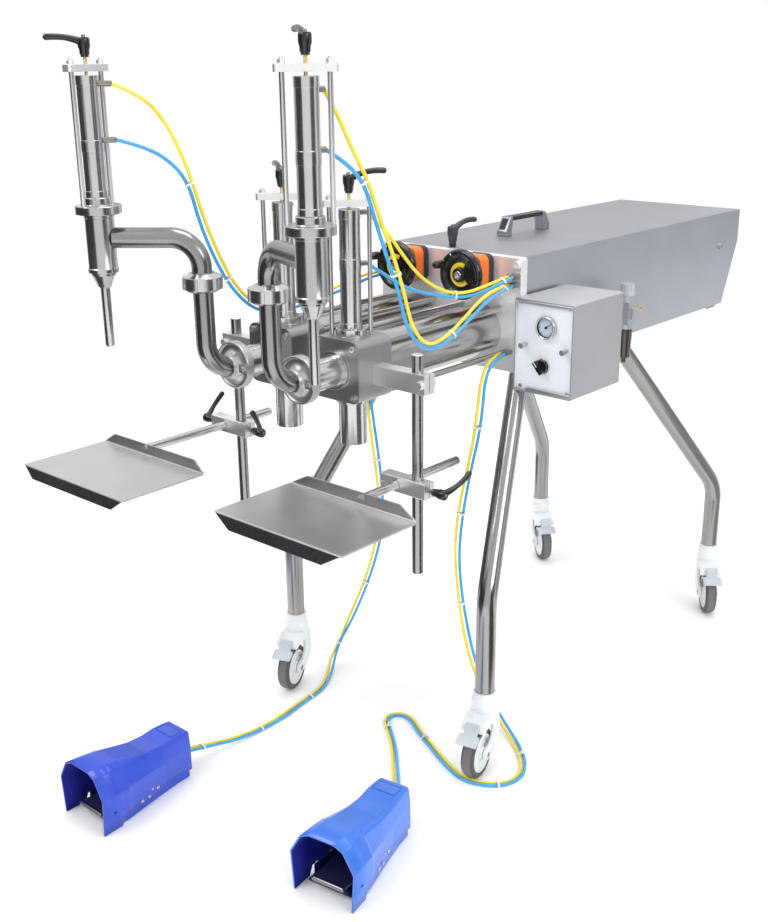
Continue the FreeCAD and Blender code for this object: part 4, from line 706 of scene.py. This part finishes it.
# ---- filling nozzles: tip, cone, body with its rings, flange and collar, turned in one
for s in SIDES:
    hx, hy = HEAD[s]
    bm = bmesh.new()
    lathe(bm, [(6.4, 862.2), (6.9, 862.2), (8.0, 865.2), (8.0, 962.4), (8.6, 963.4), (10.6, 963.8), (11.6, 964.8), (19.0, 983.0), (20.4, 984.6), (20.4, 988.0), (21.0, 988.6), (24.8, 988.8), (25.4, 989.6), (25.4, 995.6), (24.6, 996.4), (24.0, 997.6), (24.0, 1079.2), (24.8, 1080.0), (24.8, 1085.2), (37.2, 1085.8), (38.0, 1086.8), (38.0, 1098.8), (37.0, 1100.0), (22.8, 1100.2), (22.0, 1101.4), (22.0, 1111.6), (21.0, 1112.8), (4.3, 1112.8), (4.3, 1079.0), (21.0, 1079.0), (21.0, 1002.0), (14.5, 990.0), (6.4, 968.0)], frame_at((hx, hy, 0), (0, 0, 1), (1, 0, 0)), 96)
    o = obj_from("nozzle_turned_" + s, bm, M["nozzle"], "frame", angle=28)
    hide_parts("nozzle_bodies")

# ---- trays: one bent sheet each, dropped front lip and raised back lip with cut corners, and the rod behind it
TRAYS = {"left": (-386.0, -93.0, -768.0, -591.0, 21.0, 19.0, 29.0, -272.0), "right": (20.0, 314.0, -667.0, -489.0, 24.0, 21.0, 40.0, -226.0)}
for s, sx in (("left", -1), ("right", 1)):
    x0, x1, y0, y1, lf, lb, m_, yr = TRAYS[s]
    rx, z = sx * POSTX - 38.0, CZ[s]
    tz = z - 9.25
    prof = [(y1 + 4.0, lb, m_), (y1 + 0.9, 4.4, m_ * 4.4 / lb)]
    prof += [(y1 + 0.4 - 3.4 + 3.4 * math.cos(math.radians(q)), 3.4 - 3.4 * math.sin(math.radians(q)), m_ * (3.4 - 3.4 * math.sin(math.radians(q))) / lb) for q in (8, 28, 48, 68, 90)]
    prof += [(y1 - 60, 0, 0), ((y0 + y1) / 2, 0, 0), (y0 + 60, 0, 0)]
    prof += [(y0 + 3.0 - 3.0 * math.sin(math.radians(q)), -3.0 + 3.0 * math.cos(math.radians(q)), m_ * (3.0 - 3.0 * math.cos(math.radians(q))) / lf) for q in (0, 22, 44, 66, 84)]
    prof += [(y0 - 4.0, -lf, m_)]
    bm = bmesh.new()
    nx = 6
    rows = [[bm.verts.new(P(x0 + ins + (x1 - x0 - 2 * ins) * i / nx, y_, tz + dz)) for i in range(nx + 1)] for y_, dz, ins in prof]
    for k, (a_, b_) in enumerate(zip(rows, rows[1:])):
        for i in range(nx):
            f = bm.faces.new([a_[i], b_[i], b_[i + 1], a_[i + 1]])
            # the front lip row takes the darker copy: painted shade
            f.material_index = 1 if k >= len(prof) - 2 else 0
    bm.normal_update()
    if sum(f.normal.z for f in bm.faces) < 0:
        bmesh.ops.reverse_faces(bm, faces=bm.faces)
    me = bpy.data.meshes.new("tray_sheet_" + s)
    bm.to_mesh(me)
    bm.free()
    o = bpy.data.objects.new("tray_sheet_" + s, me)
    scene.collection.objects.link(o)
    for mt in (M["tray_top"], M["tray"], M["tray"], M["tray"]):
        me.materials.append(mt)
    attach(o, "tray_" + s)
    md = o.modifiers.new("Gauge", "SOLIDIFY")
    md.thickness = 0.0025
    md.offset = -1.0
    md.use_even_offset = True
    md.material_offset = 2
    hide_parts("tray_" + s)
    bm = bmesh.new()
    L = yr - (y1 + 2.0)
    lathe(bm, [(0, 0), (8.0, 0), (8.0, L - 1.2), (7.0, L), (0, L)], frame_at((rx, y1 + 2.0, z), (0, 1, 0), (1, 0, 0)), 48, close=False)
    o = obj_from("tray_rod_" + s, bm, M["polished"], "tray_" + s, angle=40)
    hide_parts("tray_" + s)

# ---- handwheels
for s, sx in (("left", -1), ("right", 1)):
    x, z = sx * HX_, 933.0
    body = "handwheel_" + s
    F0 = frame_at((x, -70, z), (0, -1, 0), (1, 0, 0))
    bm = bmesh.new()
    lathe(bm, [(7.1, 0), (13.4, 0), (14.4, 1.6), (26, 4.6), (38, 4.0), (44.0, 4.6), (47.0, 7.2), (48.4, 10.8), (48.4, 14.4), (47.4, 18.0), (45.0, 20.4), (42.0, 21.2), (39.0, 20.4), (36.0, 18.4), (31.2, 16.0), (25.6, 14.6), (22.8, 14.2), (14.4, 14.2), (13.9, 15.4), (13.7, 22.4), (13.0, 23.6), (12.0, 24), (8.5, 24), (8.5, 18), (7.1, 18)], F0, 96)
    o = obj_from("wheel_rim_" + s, bm, M["black"], body, angle=40)
    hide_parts(body)
    bm = bmesh.new()
    lathe(bm, [(14.2, 13.0), (14.2, 14.9), (14.7, 15.4), (16.6, 15.6), (21.6, 17.3), (22.4, 17.1), (22.8, 16.2), (22.8, 13.0)], F0, 96, a0=62, a1=316)
    o = obj_from("wheel_ring_" + s, bm, M["yellow"], body, angle=40)
    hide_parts(body)
    bm = bmesh.new()
    lathe(bm, [(0, -2), (6.9, -2), (6.9, 18.2), (8.3, 18.2), (8.3, 25.0), (7.6, 26.0), (4.4, 26.0), (4.0, 25.6), (4.0, 22.0), (0, 22.0)], F0, 48, close=False)
    lathe(bm, [(0, 0), (7.0, 0), (7.0, 318), (0, 318)], frame_at((x, -68, z), (0, 1, 0), (1, 0, 0)), 32, close=False)
    o = obj_from("wheel_spindle_" + s, bm, M["polished"], body, angle=40)
    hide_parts(body)
    bm = bmesh.new()
    for a in (118, 148):
        t = math.radians(a)
        mm = frame_at((x + 42.0 * math.cos(t), -91.3, z + 42.0 * math.sin(t)), (0, -1, 0), (math.cos(t), 0, math.sin(t)))
        block(bm, mm, (4.2, 2.0, 0.9), 0.25)
    o = obj_from("wheel_marks_" + s, bm, M["tie"], body, smooth=False)
    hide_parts(body)
    bm = bmesh.new()
    lathe(bm, [(0, -8), (4, -8), (4, 2.4), (6.2, 3), (7.6, 6), (8, 12), (7.8, 20), (6.8, 25), (4.2, 27.6), (0, 28.2)], frame_at((x - 35, -93.6, z + 19), (0, -1, 0), (1, 0, 0)), 40, close=False)
    o = obj_from("wheel_grip_" + s, bm, M["black"], body, angle=40)
    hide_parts(body)

# ---- wheels, forks and brake pedals of the casters
for nme, (fx, fy, az) in CASTERS.items():
    R = Matrix.Rotation(math.radians(az), 4, "Z")
    T = Matrix.Translation(P(fx, fy, 0)) @ R

    def at_(x, y, z, axis="Y"):
        b = Matrix.Translation(Vector((x, y, z)) / 1000)
        return T @ b @ (Matrix.Rotation(math.radians(-90), 4, "X") if axis == "Y" else Matrix.Identity(4))
    A = at_(TRAIL, 0, WHEEL_R)
    bm = bmesh.new()
    tyre = [(38.4, -10.5), (40.5, -12.6), (43.2, -13.4), (46.2, -12.8), (48.2, -11.0), (49.3, -8.8), (49.7, -8.0), (50, -5.0), (50, 5.0), (49.7, 8.0), (49.3, 8.8), (48.2, 11.0), (46.2, 12.8), (43.2, 13.4), (40.5, 12.6), (38.4, 10.5)]
    lathe(bm, tyre, A, 96)
    for f in bm.faces:
        c = A.inverted() @ f.calc_center_median()
        f.material_index = 1 if abs(c.z) > 0.0079 else 0
    disc = [(5.9, -15.2), (11.5, -15.2), (12.6, -14.0), (13.2, -10.2), (15, -9.0), (27, -8.2), (33.4, -9.4), (34.6, -12.2), (36.0, -13.2), (38.2, -12.4), (38.6, -11.0), (38.6, 11.0), (38.2, 12.4), (36.0, 13.2), (34.6, 12.2), (33.4, 9.4), (27, 8.2), (15, 9.0), (13.2, 10.2), (12.6, 14.0), (11.5, 15.2), (5.9, 15.2)]
    lathe(bm, disc, A, 96, index=2)
    lathe(bm, [(0, -23.9), (6.1, -23.9), (6.1, 23.9), (0, 23.9)], A, 32, close=False, index=3)
    o = obj_from("caster_wheel_" + nme, bm, [M["tyre"], M["tyre_side"], M["white"], M["dark_steel"]], "wheel_" + nme, angle=40)
    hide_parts("wheel_" + nme)
    # fork: two-step collar, domed crown and two arms
    bm = bmesh.new()
    lathe(bm, [(0, 108.4), (20, 108.4), (23.6, 110), (25.4, 114), (25.5, 150), (24.9, 152.2), (23.4, 153.2), (22.9, 155), (22.8, 166.4), (22.0, 168.2), (20.4, 168.6), (16.4, 168.6), (16.4, 199.8), (0, 199.8)], T, 64, close=False)
    o1 = obj_from("caster_collar_" + nme, bm, M["white"], "caster_fork_" + nme, angle=40)
    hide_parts("caster_fork_" + nme)
    bm = bmesh.new()
    XZ = T @ Matrix(((1, 0, 0, 0), (0, 0, 1, 0), (0, 1, 0, 0), (0, 0, 0, 1)))
    crown = [(-20, 110)] + [(-20 + 9 * (1 - math.cos(math.radians(q))), 119 + 11 * math.sin(math.radians(q))) for q in (0, 30, 60, 90)] + [(20, 130), (34, 128), (43, 124), (53, 119.4), (57.5, 112), (55.5, 104.6), (44, 104.6), (42, 108), (30, 108.4), (-18, 108.4)]
    vs = prism_piece(bm, crown, XZ @ Matrix.Translation((0, 0, -0.024)), 48)
    o2 = bevel_mod(obj_from("caster_crown_" + nme, bm, M["white"], "caster_fork_" + nme, angle=40), 3.6, 4)
    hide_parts("caster_fork_" + nme)
    arm_o = [(-20, 112), (-22.6, 104), (-22.9, 90), (-22.4, 78), (-19.4, 66), (-13.6, 56.6), (-4, 47.8), (8, 41.4), (20, 38.2), (TRAIL, 37.2)] + [(TRAIL + 12.4 * math.cos(math.radians(q)), 50 + 12.4 * math.sin(math.radians(q))) for q in (-62, -34, -6, 22, 50, 78)] + [(27, 63.2), (18.6, 65.6), (12.4, 70.4), (8.6, 77), (6.6, 86), (6, 98), (6, 112)]
    for k in (-1, 1):
        bm = bmesh.new()
        prism_piece(bm, arm_o, XZ @ Matrix.Translation((0, 0, (16.2 if k > 0 else -23.8) / 1000)), 7.6)
        o3 = bevel_mod(obj_from("caster_arm_%s_%s" % ("a" if k > 0 else "b", nme), bm, M["white"], "caster_fork_" + nme, angle=40), 2.4, 4)
        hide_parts("caster_fork_" + nme)
        bm = bmesh.new()
        lathe(bm, [(6.4, 0), (9.4, 0), (9.4, 1.2), (8.6, 1.9), (6.4, 1.9)], at_(TRAIL, 23.4 if k > 0 else -25.3, WHEEL_R), 40)
        o4 = obj_from("caster_boss_%s_%s" % ("a" if k > 0 else "b", nme), bm, M["white"], "caster_fork_" + nme, angle=40)
        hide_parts("caster_fork_" + nme)
    # brake pedal: rounded pad above a wider toe lip, on its cross pin
    bm = bmesh.new()
    pvx, pvz = 52.0, 112.0
    pad = [(pvx - 3.6, pvz + 3), (pvx + 0.6, pvz + 11.4), (pvx + 4, pvz + 12.4), (pvx + 7.4, pvz + 11.4), (pvx + 12, pvz + 3.6), (pvx + 17, pvz - 5.6), (pvx + 20, pvz - 8.4), (pvx + 19, pvz - 14), (pvx + 12, pvz - 12), (pvx + 6, pvz - 3.6)]
    prism_piece(bm, pad, XZ @ Matrix.Translation((0, 0, -0.0136)), 27.2)
    o5 = bevel_mod(obj_from("brake_pad_" + nme, bm, M["pale_grey"], "brake_pedal_" + nme, angle=40), 3.0, 4)
    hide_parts("brake_pedal_" + nme)
    bm = bmesh.new()
    lip_ = [(pvx + 16.6, pvz - 4.6), (pvx + 19.6, pvz - 6.4), (pvx + 28, pvz - 9.6), (pvx + 35.6, pvz - 14.2), (pvx + 37.6, pvz - 17.0), (pvx + 36.6, pvz - 19.6), (pvx + 33.4, pvz - 20.2), (pvx + 27, pvz - 17.8), (pvx + 19, pvz - 14.6), (pvx + 16.6, pvz - 11.4)]
    prism_piece(bm, lip_, XZ @ Matrix.Translation((0, 0, -0.0209)), 41.8)
    o6 = bevel_mod(obj_from("brake_lip_" + nme, bm, M["pale_grey"], "brake_pedal_" + nme, angle=40), 3.4, 5)
    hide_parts("brake_pedal_" + nme)
    bm = bmesh.new()
    lathe(bm, [(0, -16.4), (4.6, -16.4), (5, -15.8), (5, 15.8), (4.6, 16.4), (0, 16.4)], at_(pvx, 0, pvz), 32, close=False)
    o7 = obj_from("brake_pin_" + nme, bm, M["pale_grey"], "brake_pedal_" + nme, angle=40)
    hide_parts("brake_pedal_" + nme)

# ---- foot pedals: moulded guard, base, screws
PEDAL = {"left": (-179.5, -850.0, 0.6), "right": (296.5, -712.0, 9.5)}
M["blue"].name = "guard_blue"
for s, (cx, cy, az) in PEDAL.items():
    T = Matrix.Translation(P(cx, cy, 0)) @ Matrix.Rotation(math.radians(az), 4, "Z")
    skin = M["blue"] if s == "left" else M["blue_light"]
    st = [(0.0, 60, 65, 75, 121, 26), (40.8, 58.4, 62.6, 73.2, 117.4, 26.8), (41.2, 58.4, 62.6, 73.2, 117.4, 26.8), (48.8, 57.6, 62.0, 72.8, 116.4, 27), (62.0, 57, 61, 72, 114.4, 27), (66.0, 55.2, 58.8, 71.6, 113.2, 27), (125.0, 45, 47, 66, 99.4, 28), (160.0, 38.6, 39.8, 63.4, 97.4, 29), (190.0, 36, 36.4, 65.4, 100.2, 30), (210.0, 34.8, 34.8, 66, 99.6, 29.6), (227.9, 34, 34, 66, 98, 29)]
    bm = bmesh.new()
    rows = []
    for y, w0, w1, zs, zt, wt in st:
        zb = 0.0 if y < 41 else (0.0 + 16.0 * min(1.0, (y - 41) / 8.0))
        half = [(w0 + (w1 - w0) * zb / zs, zb), (w0 + (w1 - w0) * 0.5, max(zb + 4, zs * 0.5)), (w1, zs), (wt + (w1 - wt) * 0.45, zt - (zt - zs) * 0.18), (wt, zt)]
        prof = half + [(0.0, zt + 0.25)] + [(-a_, b_) for a_, b_ in reversed(half)]
        rows.append([bm.verts.new(Vector((a_, y, b_)) / 1000) for a_, b_ in prof])
    for a_, b_ in zip(rows, rows[1:]):
        for j in range(len(a_) - 1):
            bm.faces.new([a_[j], a_[j + 1], b_[j + 1], b_[j]])
    bm.faces.new(rows[-1])
    bmesh.ops.transform(bm, matrix=T, verts=bm.verts)
    o = obj_from("guard_" + s, bm, [skin, M["inside"]], "frame", angle=4)
    bv = bevel_mod(o, 2.2, 3, 14)
    # the inner wall takes the dark blue material: painted shade within the guard
    md = o.modifiers.new("Wall", "SOLIDIFY")
    md.thickness = 0.003
    md.offset = -1.0
    md.material_offset = 1
    md.material_offset_rim = 0
    # the shell's normals face outwards, so the wall grows inwards
    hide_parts("pedal_housings")
    bm = bmesh.new()
    block(bm, T, (61, 194, 8), 3.0, centre=(0, 127, 4))
    prism_piece(bm, [(-50.5, 30), (50.5, 30), (50.5, 64), (41.0, 124), (32.0, 188), (30.5, 222), (-30.5, 222), (-32.0, 188), (-41.0, 124), (-50.5, 64)], T @ Matrix.Translation((0, 0, 0.0004)), 3.2)
    for k in (-1, 1):
        block(bm, T, (3.5, 72, 52.0), 0.6, centre=(k * 28.75, 186, 34))
    block(bm, T, (54, 17, 52.0), 0.6, centre=(0, 213.5, 34))
    lathe(bm, [(0, -30.4), (3.9, -30.4), (3.9, 30.4), (0, 30.4)], T @ Matrix.Translation((0, 0.176, 0.034)) @ Matrix.Rotation(math.radians(90), 4, "Y"), 24, close=False)
    line = [(48.6, 51.8), (64, 50.6), (125, 41.4), (190, 32.4), (222, 31.0)]
    for sgn in (-1, 1):
        rails = [[bm.verts.new(T @ (Vector((sgn * (w_ - d_), y_, z_)) / 1000)) for y_, w_ in line] for d_, z_ in ((0, 0.5), (0, 20), (1.2, 20), (1.2, 0.5))]
        for i in range(4):
            for j in range(len(line) - 1):
                q4 = [rails[i][j], rails[i][j + 1], rails[(i + 1) % 4][j + 1], rails[(i + 1) % 4][j]]
                f = bm.faces.new(q4 if sgn < 0 else q4[::-1])
                # outer face of each skirt in the guard's blue, its other faces in the dark navy: painted shade on the
                # skirt's inner side
                f.material_index = 1 if i == 0 else 0
        for j in (0, -1):
            q4 = [rails[i][j] for i in range(4)]
            bm.faces.new(q4 if (j == 0) == (sgn < 0) else q4[::-1])
    bmesh.ops.recalc_face_normals(bm, faces=bm.faces)
    o = obj_from("pedal_base_" + s, bm, [M["base_dark"], skin], "frame", smooth=False)
    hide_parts("pedal_housings")
    bm = bmesh.new()
    for sgn in (-1, 1):
        for yy, zz, w_ in ((93.0, 22.0, 50.6), (111.0, 21.0, 47.6), (135.0, 27.0, 43.4), (120.0, 33.0, 46.6)):
            big = 3.4 if (yy, zz) != (120.0, 33.0) else 2.2
            mm = T @ Matrix.Translation(Vector((sgn * (w_ - 1.0), yy, zz)) / 1000) @ Matrix.Rotation(math.radians(90 * sgn), 4, "Y")
            lathe(bm, [(0, -3.0), (big, -3.0), (big, 3.0), (big * 0.85, 3.6), (big * 0.5, 3.6), (big * 0.45, 2.2), (0, 2.2)], mm, 24, close=False)
    o = obj_from("pedal_screws_" + s, bm, M["polished"], "frame", angle=40)
    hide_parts("pedal_housings")
    # thin dark discs on the guard's sides stand for its holes: painted shade
    bm = bmesh.new()
    for sgn in (-1, 1):
        mm = T @ Matrix.Translation(Vector((sgn * 60.6, 26.0, 38.0)) / 1000) @ Matrix.Rotation(math.radians(90 * sgn), 4, "Y")
        lathe(bm, [(0, 0), (2.4, 0), (2.4, 1.4), (0, 1.4)], mm, 20, close=False)
    o = obj_from("pedal_hole_shade_discs_" + s, bm, M["inside"], "frame", angle=40)
    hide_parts("pedal_housings")
    bm = bmesh.new()
    lathe(bm, [(0, -32), (3.0, -32), (4.2, -31), (4.5, -29), (4.5, 29), (4.2, 31), (3.0, 32), (0, 32)], T @ Matrix.Translation((0, 0.0166, 0.0226)) @ Matrix.Rotation(math.radians(90), 4, "Y"), 32, close=False)
    o = obj_from("treadle_nose_" + s, bm, M["nose"], "treadle_" + s, angle=50)
    # bare recess on the rear cap where the real one has a label
    bm = bmesh.new()
    slope_m = T @ Matrix.Translation(Vector((0, 203.0, 100.35)) / 1000) @ Matrix.Rotation(math.radians(-3.3), 4, "X")
    for w_, d_, cy_, cx_ in ((46, 0.9, -13.5, 0), (46, 0.9, 13.5, 0), (0.9, 27.9, 0, -23), (0.9, 27.9, 0, 23)):
        block(bm, slope_m, (w_ + 0.0, d_, 0.5), 0.2, centre=(cx_, cy_, 0))
    o = obj_from("guard_recess_" + s, bm, skin, "frame", smooth=False)
    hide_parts("pedal_housings")

# ---- gauge, panel lips, selector index
gx, gz, py = 245.0, 845.0, -30.0
M["dial"] = plastic("dial_face", (0.80, 0.86, 0.92), 0.45, 0.02, edge=0)
M["ink"] = plastic("dial_ink", (0.03, 0.035, 0.05), 0.5, 0.02, edge=0)
mt, nt, b = new_mat("gauge_glass")
b.inputs["Base Color"].default_value = (0.93, 0.96, 1.0, 1)
b.inputs["Transmission Weight"].default_value = 1.0
b.inputs["Roughness"].default_value = 0.02
b.inputs["IOR"].default_value = 1.12
nz = node(nt, "ShaderNodeTexNoise", Scale=30.0)
nt.links.new(coords(nt), nz.inputs["Vector"])
bump(nt, b, nz.outputs["Fac"], 0.02, 0.0001)
M["glass"] = mt
G0 = frame_at((gx, py, gz), (0, -1, 0), (1, 0, 0))
bm = bmesh.new()
lathe(bm, [(17.5, 1.5), (21.6, 0.2), (22.0, 1.0), (22.0, 7.4), (21.2, 9.4), (19.8, 10.2), (18.6, 9.6), (17.6, 8.2)], G0, 96)
o = obj_from("gauge_bezel", bm, M["polished"], "frame", angle=50)
bm = bmesh.new()
lathe(bm, [(0, 3.05), (17.45, 3.05), (17.45, 3.35), (0, 3.35)], G0, 64, close=False)
o = obj_from("gauge_dial", bm, M["dial"], "frame", angle=50)
bm = bmesh.new()
for i in range(31):
    t = math.radians(225 - 9 * i)
    L = 3.0 if i % 5 == 0 else 1.6
    mm = frame_at((gx + (15.6 - L / 2) * math.cos(t), py - 3.42, gz + (15.6 - L / 2) * math.sin(t)), (0, -1, 0), (math.cos(t), 0, math.sin(t)))
    block(bm, mm, (L, 0.55 if i % 5 == 0 else 0.3, 0.12))
lathe(bm, [(0, 3.3), (2.6, 3.3), (2.6, 5.8), (1.9, 6.4), (0, 6.4)], G0, 24, close=False)
o = obj_from("gauge_ticks", bm, M["ink"], "frame", smooth=False)
bm = bmesh.new()
lathe(bm, [(0, 7.6), (17.8, 7.4), (17.8, 8.2), (0, 8.5)], G0, 64, close=False)
o = obj_from("gauge_glass", bm, M["glass"], "frame", angle=50)
bm = bmesh.new()
block(bm, Matrix.Translation(P(240.5, -33.2, 887.6)), (125.4, 5.6, 6.6), 1.6, 3)
block(bm, Matrix.Translation(P(240.5 + 12, -33.2, 720.4)), (101.0, 5.6, 6.6), 1.6, 3)
o = obj_from("box_lips", bm, M["panel"], "frame", angle=30)
bm = bmesh.new()
lathe(bm, [(13.2, 0.2), (15.6, 0.2), (15.6, 1.8), (14.8, 2.6), (13.2, 2.6)], frame_at((238.0, py, 769.0), (0, -1, 0)), 64)
o = obj_from("selector_ring", bm, M["polished"], "frame", angle=50)
bm = bmesh.new()
mm = frame_at((238.0, py - 20.05, 769.0), (0, -1, 0), (-math.cos(math.radians(50)), 0, math.sin(math.radians(50))))
block(bm, mm, (10.5, 1.8, 0.5), 0.15, centre=(7.6, 0, 0))
block(bm, mm, (0.5, 1.8, 8.0), 0.15, centre=(13.6, 0, -4.2))
o = obj_from("selector_index", bm, M["tie"], "selector_knob", smooth=False)

# ---- bridge handle on the hood
bm = bmesh.new()
YZ = Matrix(((0, 0, 1, 0), (1, 0, 0, 0), (0, 1, 0, 0), (0, 0, 0, 1)))
bar = [(207.5, 1003), (330.5, 1003), (330.5, 994), (207.5, 994)]
prism_piece(bm, bar, Matrix.Translation(P(-25 - 10.9, 0, 0)) @ YZ, 21.8)
for f in bm.faces:
    f.normal_update()
    f.material_index = 1 if f.normal.z > 0.7 else 0
o = bevel_mod(obj_from("hood_grip", bm, [M["black"], M["satin"]], "hood", angle=40), 1.6, 3)
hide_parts("hood_handle")
bm = bmesh.new()
for leg_, s_ in (([(188, 963), (188, 974), (204.6, 1002.4), (206.4, 1003), (213.2, 1003), (213.2, 990), (210, 974), (210, 963)], 1), ([(350, 963), (350, 974), (333.4, 1002.4), (331.6, 1003), (324.8, 1003), (324.8, 990), (328, 974), (328, 963)], -1)):
    prism_piece(bm, leg_ if s_ > 0 else leg_[::-1], Matrix.Translation(P(-25 - 12, 0, 0)) @ YZ, 24)
o = bevel_mod(obj_from("hood_grip_feet", bm, M["foot"], "hood", angle=40), 1.4, 3)
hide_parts("hood_handle")
bm = bmesh.new()
for ya, za, yb, zb in ((188.6, 976.2, 203.2, 1001.2), (349.4, 976.2, 334.8, 1001.2)):
    u = Vector((0, yb - ya, zb - za)).normalized()
    mm = frame_at((-25, (ya + yb) / 2, (za + zb) / 2), (0, -u.z, u.y) if ya < yb else (0, u.z, -u.y), tuple(u))
    block(bm, mm, (25.0, 15.0, 1.3), 0.6)
o = obj_from("hood_grip_inlays", bm, M["black"], "hood", smooth=False)
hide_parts("hood_handle")

# ------------------------------------------------------------------ floor, light
def stage_plane(name, size, z, mat):
    me = bpy.data.meshes.new(name)
    h = size / 2
    me.from_pydata([(-h, -h, z), (h, -h, z), (h, h, z), (-h, h, z)], [], [(0, 1, 2, 3)])
    me.materials.append(mat)
    o = bpy.data.objects.new(name, me)
    scene.collection.objects.link(o)
    return o


mt, nt, b = new_mat("floor_pale")
b.inputs["Base Color"].default_value = (0.99, 0.99, 0.985, 1)
b.inputs["Roughness"].default_value = 0.7
b.inputs["Specular IOR Level"].default_value = 0.2
stage_plane("floor", 60.0, -0.0006, mt)

# dark and bright upright cards far round the object: they show only as
# reflections in the polished steel, as in a studio
mt_dark, nt, b = new_mat("card_dark")
b.inputs["Base Color"].default_value = (0.045, 0.042, 0.040, 1)
b.inputs["Roughness"].default_value = 0.9


mt_mid, nt, b = new_mat("card_mid")
b.inputs["Base Color"].default_value = (0.34, 0.35, 0.37, 1)
b.inputs["Roughness"].default_value = 0.9


def card(name, a0, a1, z0, z1, radius=5.5, mat=None):
    n = 12
    vs, fs = [], []
    for i in range(n + 1):
        a = math.radians(a0 + (a1 - a0) * i / n)
        vs += [(radius * math.cos(a), radius * math.sin(a), z0), (radius * math.cos(a), radius * math.sin(a), z1)]
    for i in range(n):
        fs.append((2 * i, 2 * i + 2, 2 * i + 3, 2 * i + 1))
    me = bpy.data.meshes.new(name)
    me.from_pydata(vs, [], fs)
    me.materials.append(mat or mt_dark)
    o = bpy.data.objects.new(name, me)
    scene.collection.objects.link(o)
    o.visible_camera = False
    o.visible_diffuse = False
    o.visible_shadow = False
    return o


def floor_card(name, a0, a1, r0, r1, z=0.0015, mat=None):
    n = 10
    vs, fs = [], []
    for i in range(n + 1):
        a = math.radians(a0 + (a1 - a0) * i / n)
        vs += [(r0 * math.cos(a), r0 * math.sin(a), z), (r1 * math.cos(a), r1 * math.sin(a), z)]
    for i in range(n):
        fs.append((2 * i, 2 * i + 1, 2 * i + 3, 2 * i + 2))
    me = bpy.data.meshes.new(name)
    me.from_pydata(vs, [], fs)
    me.materials.append(mat or mt_dark)
    o = bpy.data.objects.new(name, me)
    scene.collection.objects.link(o)
    o.visible_camera = False
    o.visible_diffuse = False
    o.visible_shadow = False
    o.visible_transmission = False
    return o


for i, (a0, a1, z0, z1, mt) in enumerate(((-152, -84, 0.0, 2.8, mt_dark), (-20, 20, 0.0, 2.4, mt_dark), (42, 82, 0.0, 2.6, mt_mid), (112, 152, 0.0, 2.2, mt_mid), (185, 225, 0.0, 2.4, mt_dark))):
    card("card_%d" % i, a0, a1, z0, z1, mat=mt)
for i, (a0, a1, r0, r1, mt) in enumerate(((-152, -88, 1.0, 5.5, mt_dark), (-28, 12, 0.6, 5.5, mt_dark), (30, 60, 0.9, 5.5, mt_mid), (96, 112, 1.1, 5.5, mt_dark), (150, 190, 0.7, 5.5, mt_dark))):
    floor_card("floor_card_%d" % i, a0, a1, r0, r1, mat=mt)


def area(name, loc, target, size, power, size_y=None, color=(1, 1, 1)):
    li = bpy.data.lights.new(name, "AREA")
    li.shape = "RECTANGLE"
    li.size, li.size_y = size, size_y or size
    li.energy = power
    li.color = color
    o = bpy.data.objects.new(name, li)
    scene.collection.objects.link(o)
    o.location = loc
    o.rotation_mode = "QUATERNION"
    o.rotation_quaternion = (Vector(target) - Vector(loc)).to_track_quat("-Z", "Y")
    return o


area("key", (-1.2, -3.6, 4.2), (0, 0, 0.7), 2.2, 70, 1.6)
area("right", (4.0, -0.6, 2.6), (0, 0.1, 0.7), 2.0, 40, 1.4)
area("top", (0.2, 0.4, 4.6), (0, 0.1, 0.6), 2.4, 60, 2.4)

scene.view_settings.view_transform = "Standard"
scene.view_settings.look = "None"
w = bpy.data.worlds.new("World")
scene.world = w
w.use_nodes = True
bg = w.node_tree.nodes["Background"]
bg.inputs["Color"].default_value = (0.985, 0.99, 1.0, 1)
bg.inputs["Strength"].default_value = 1.03
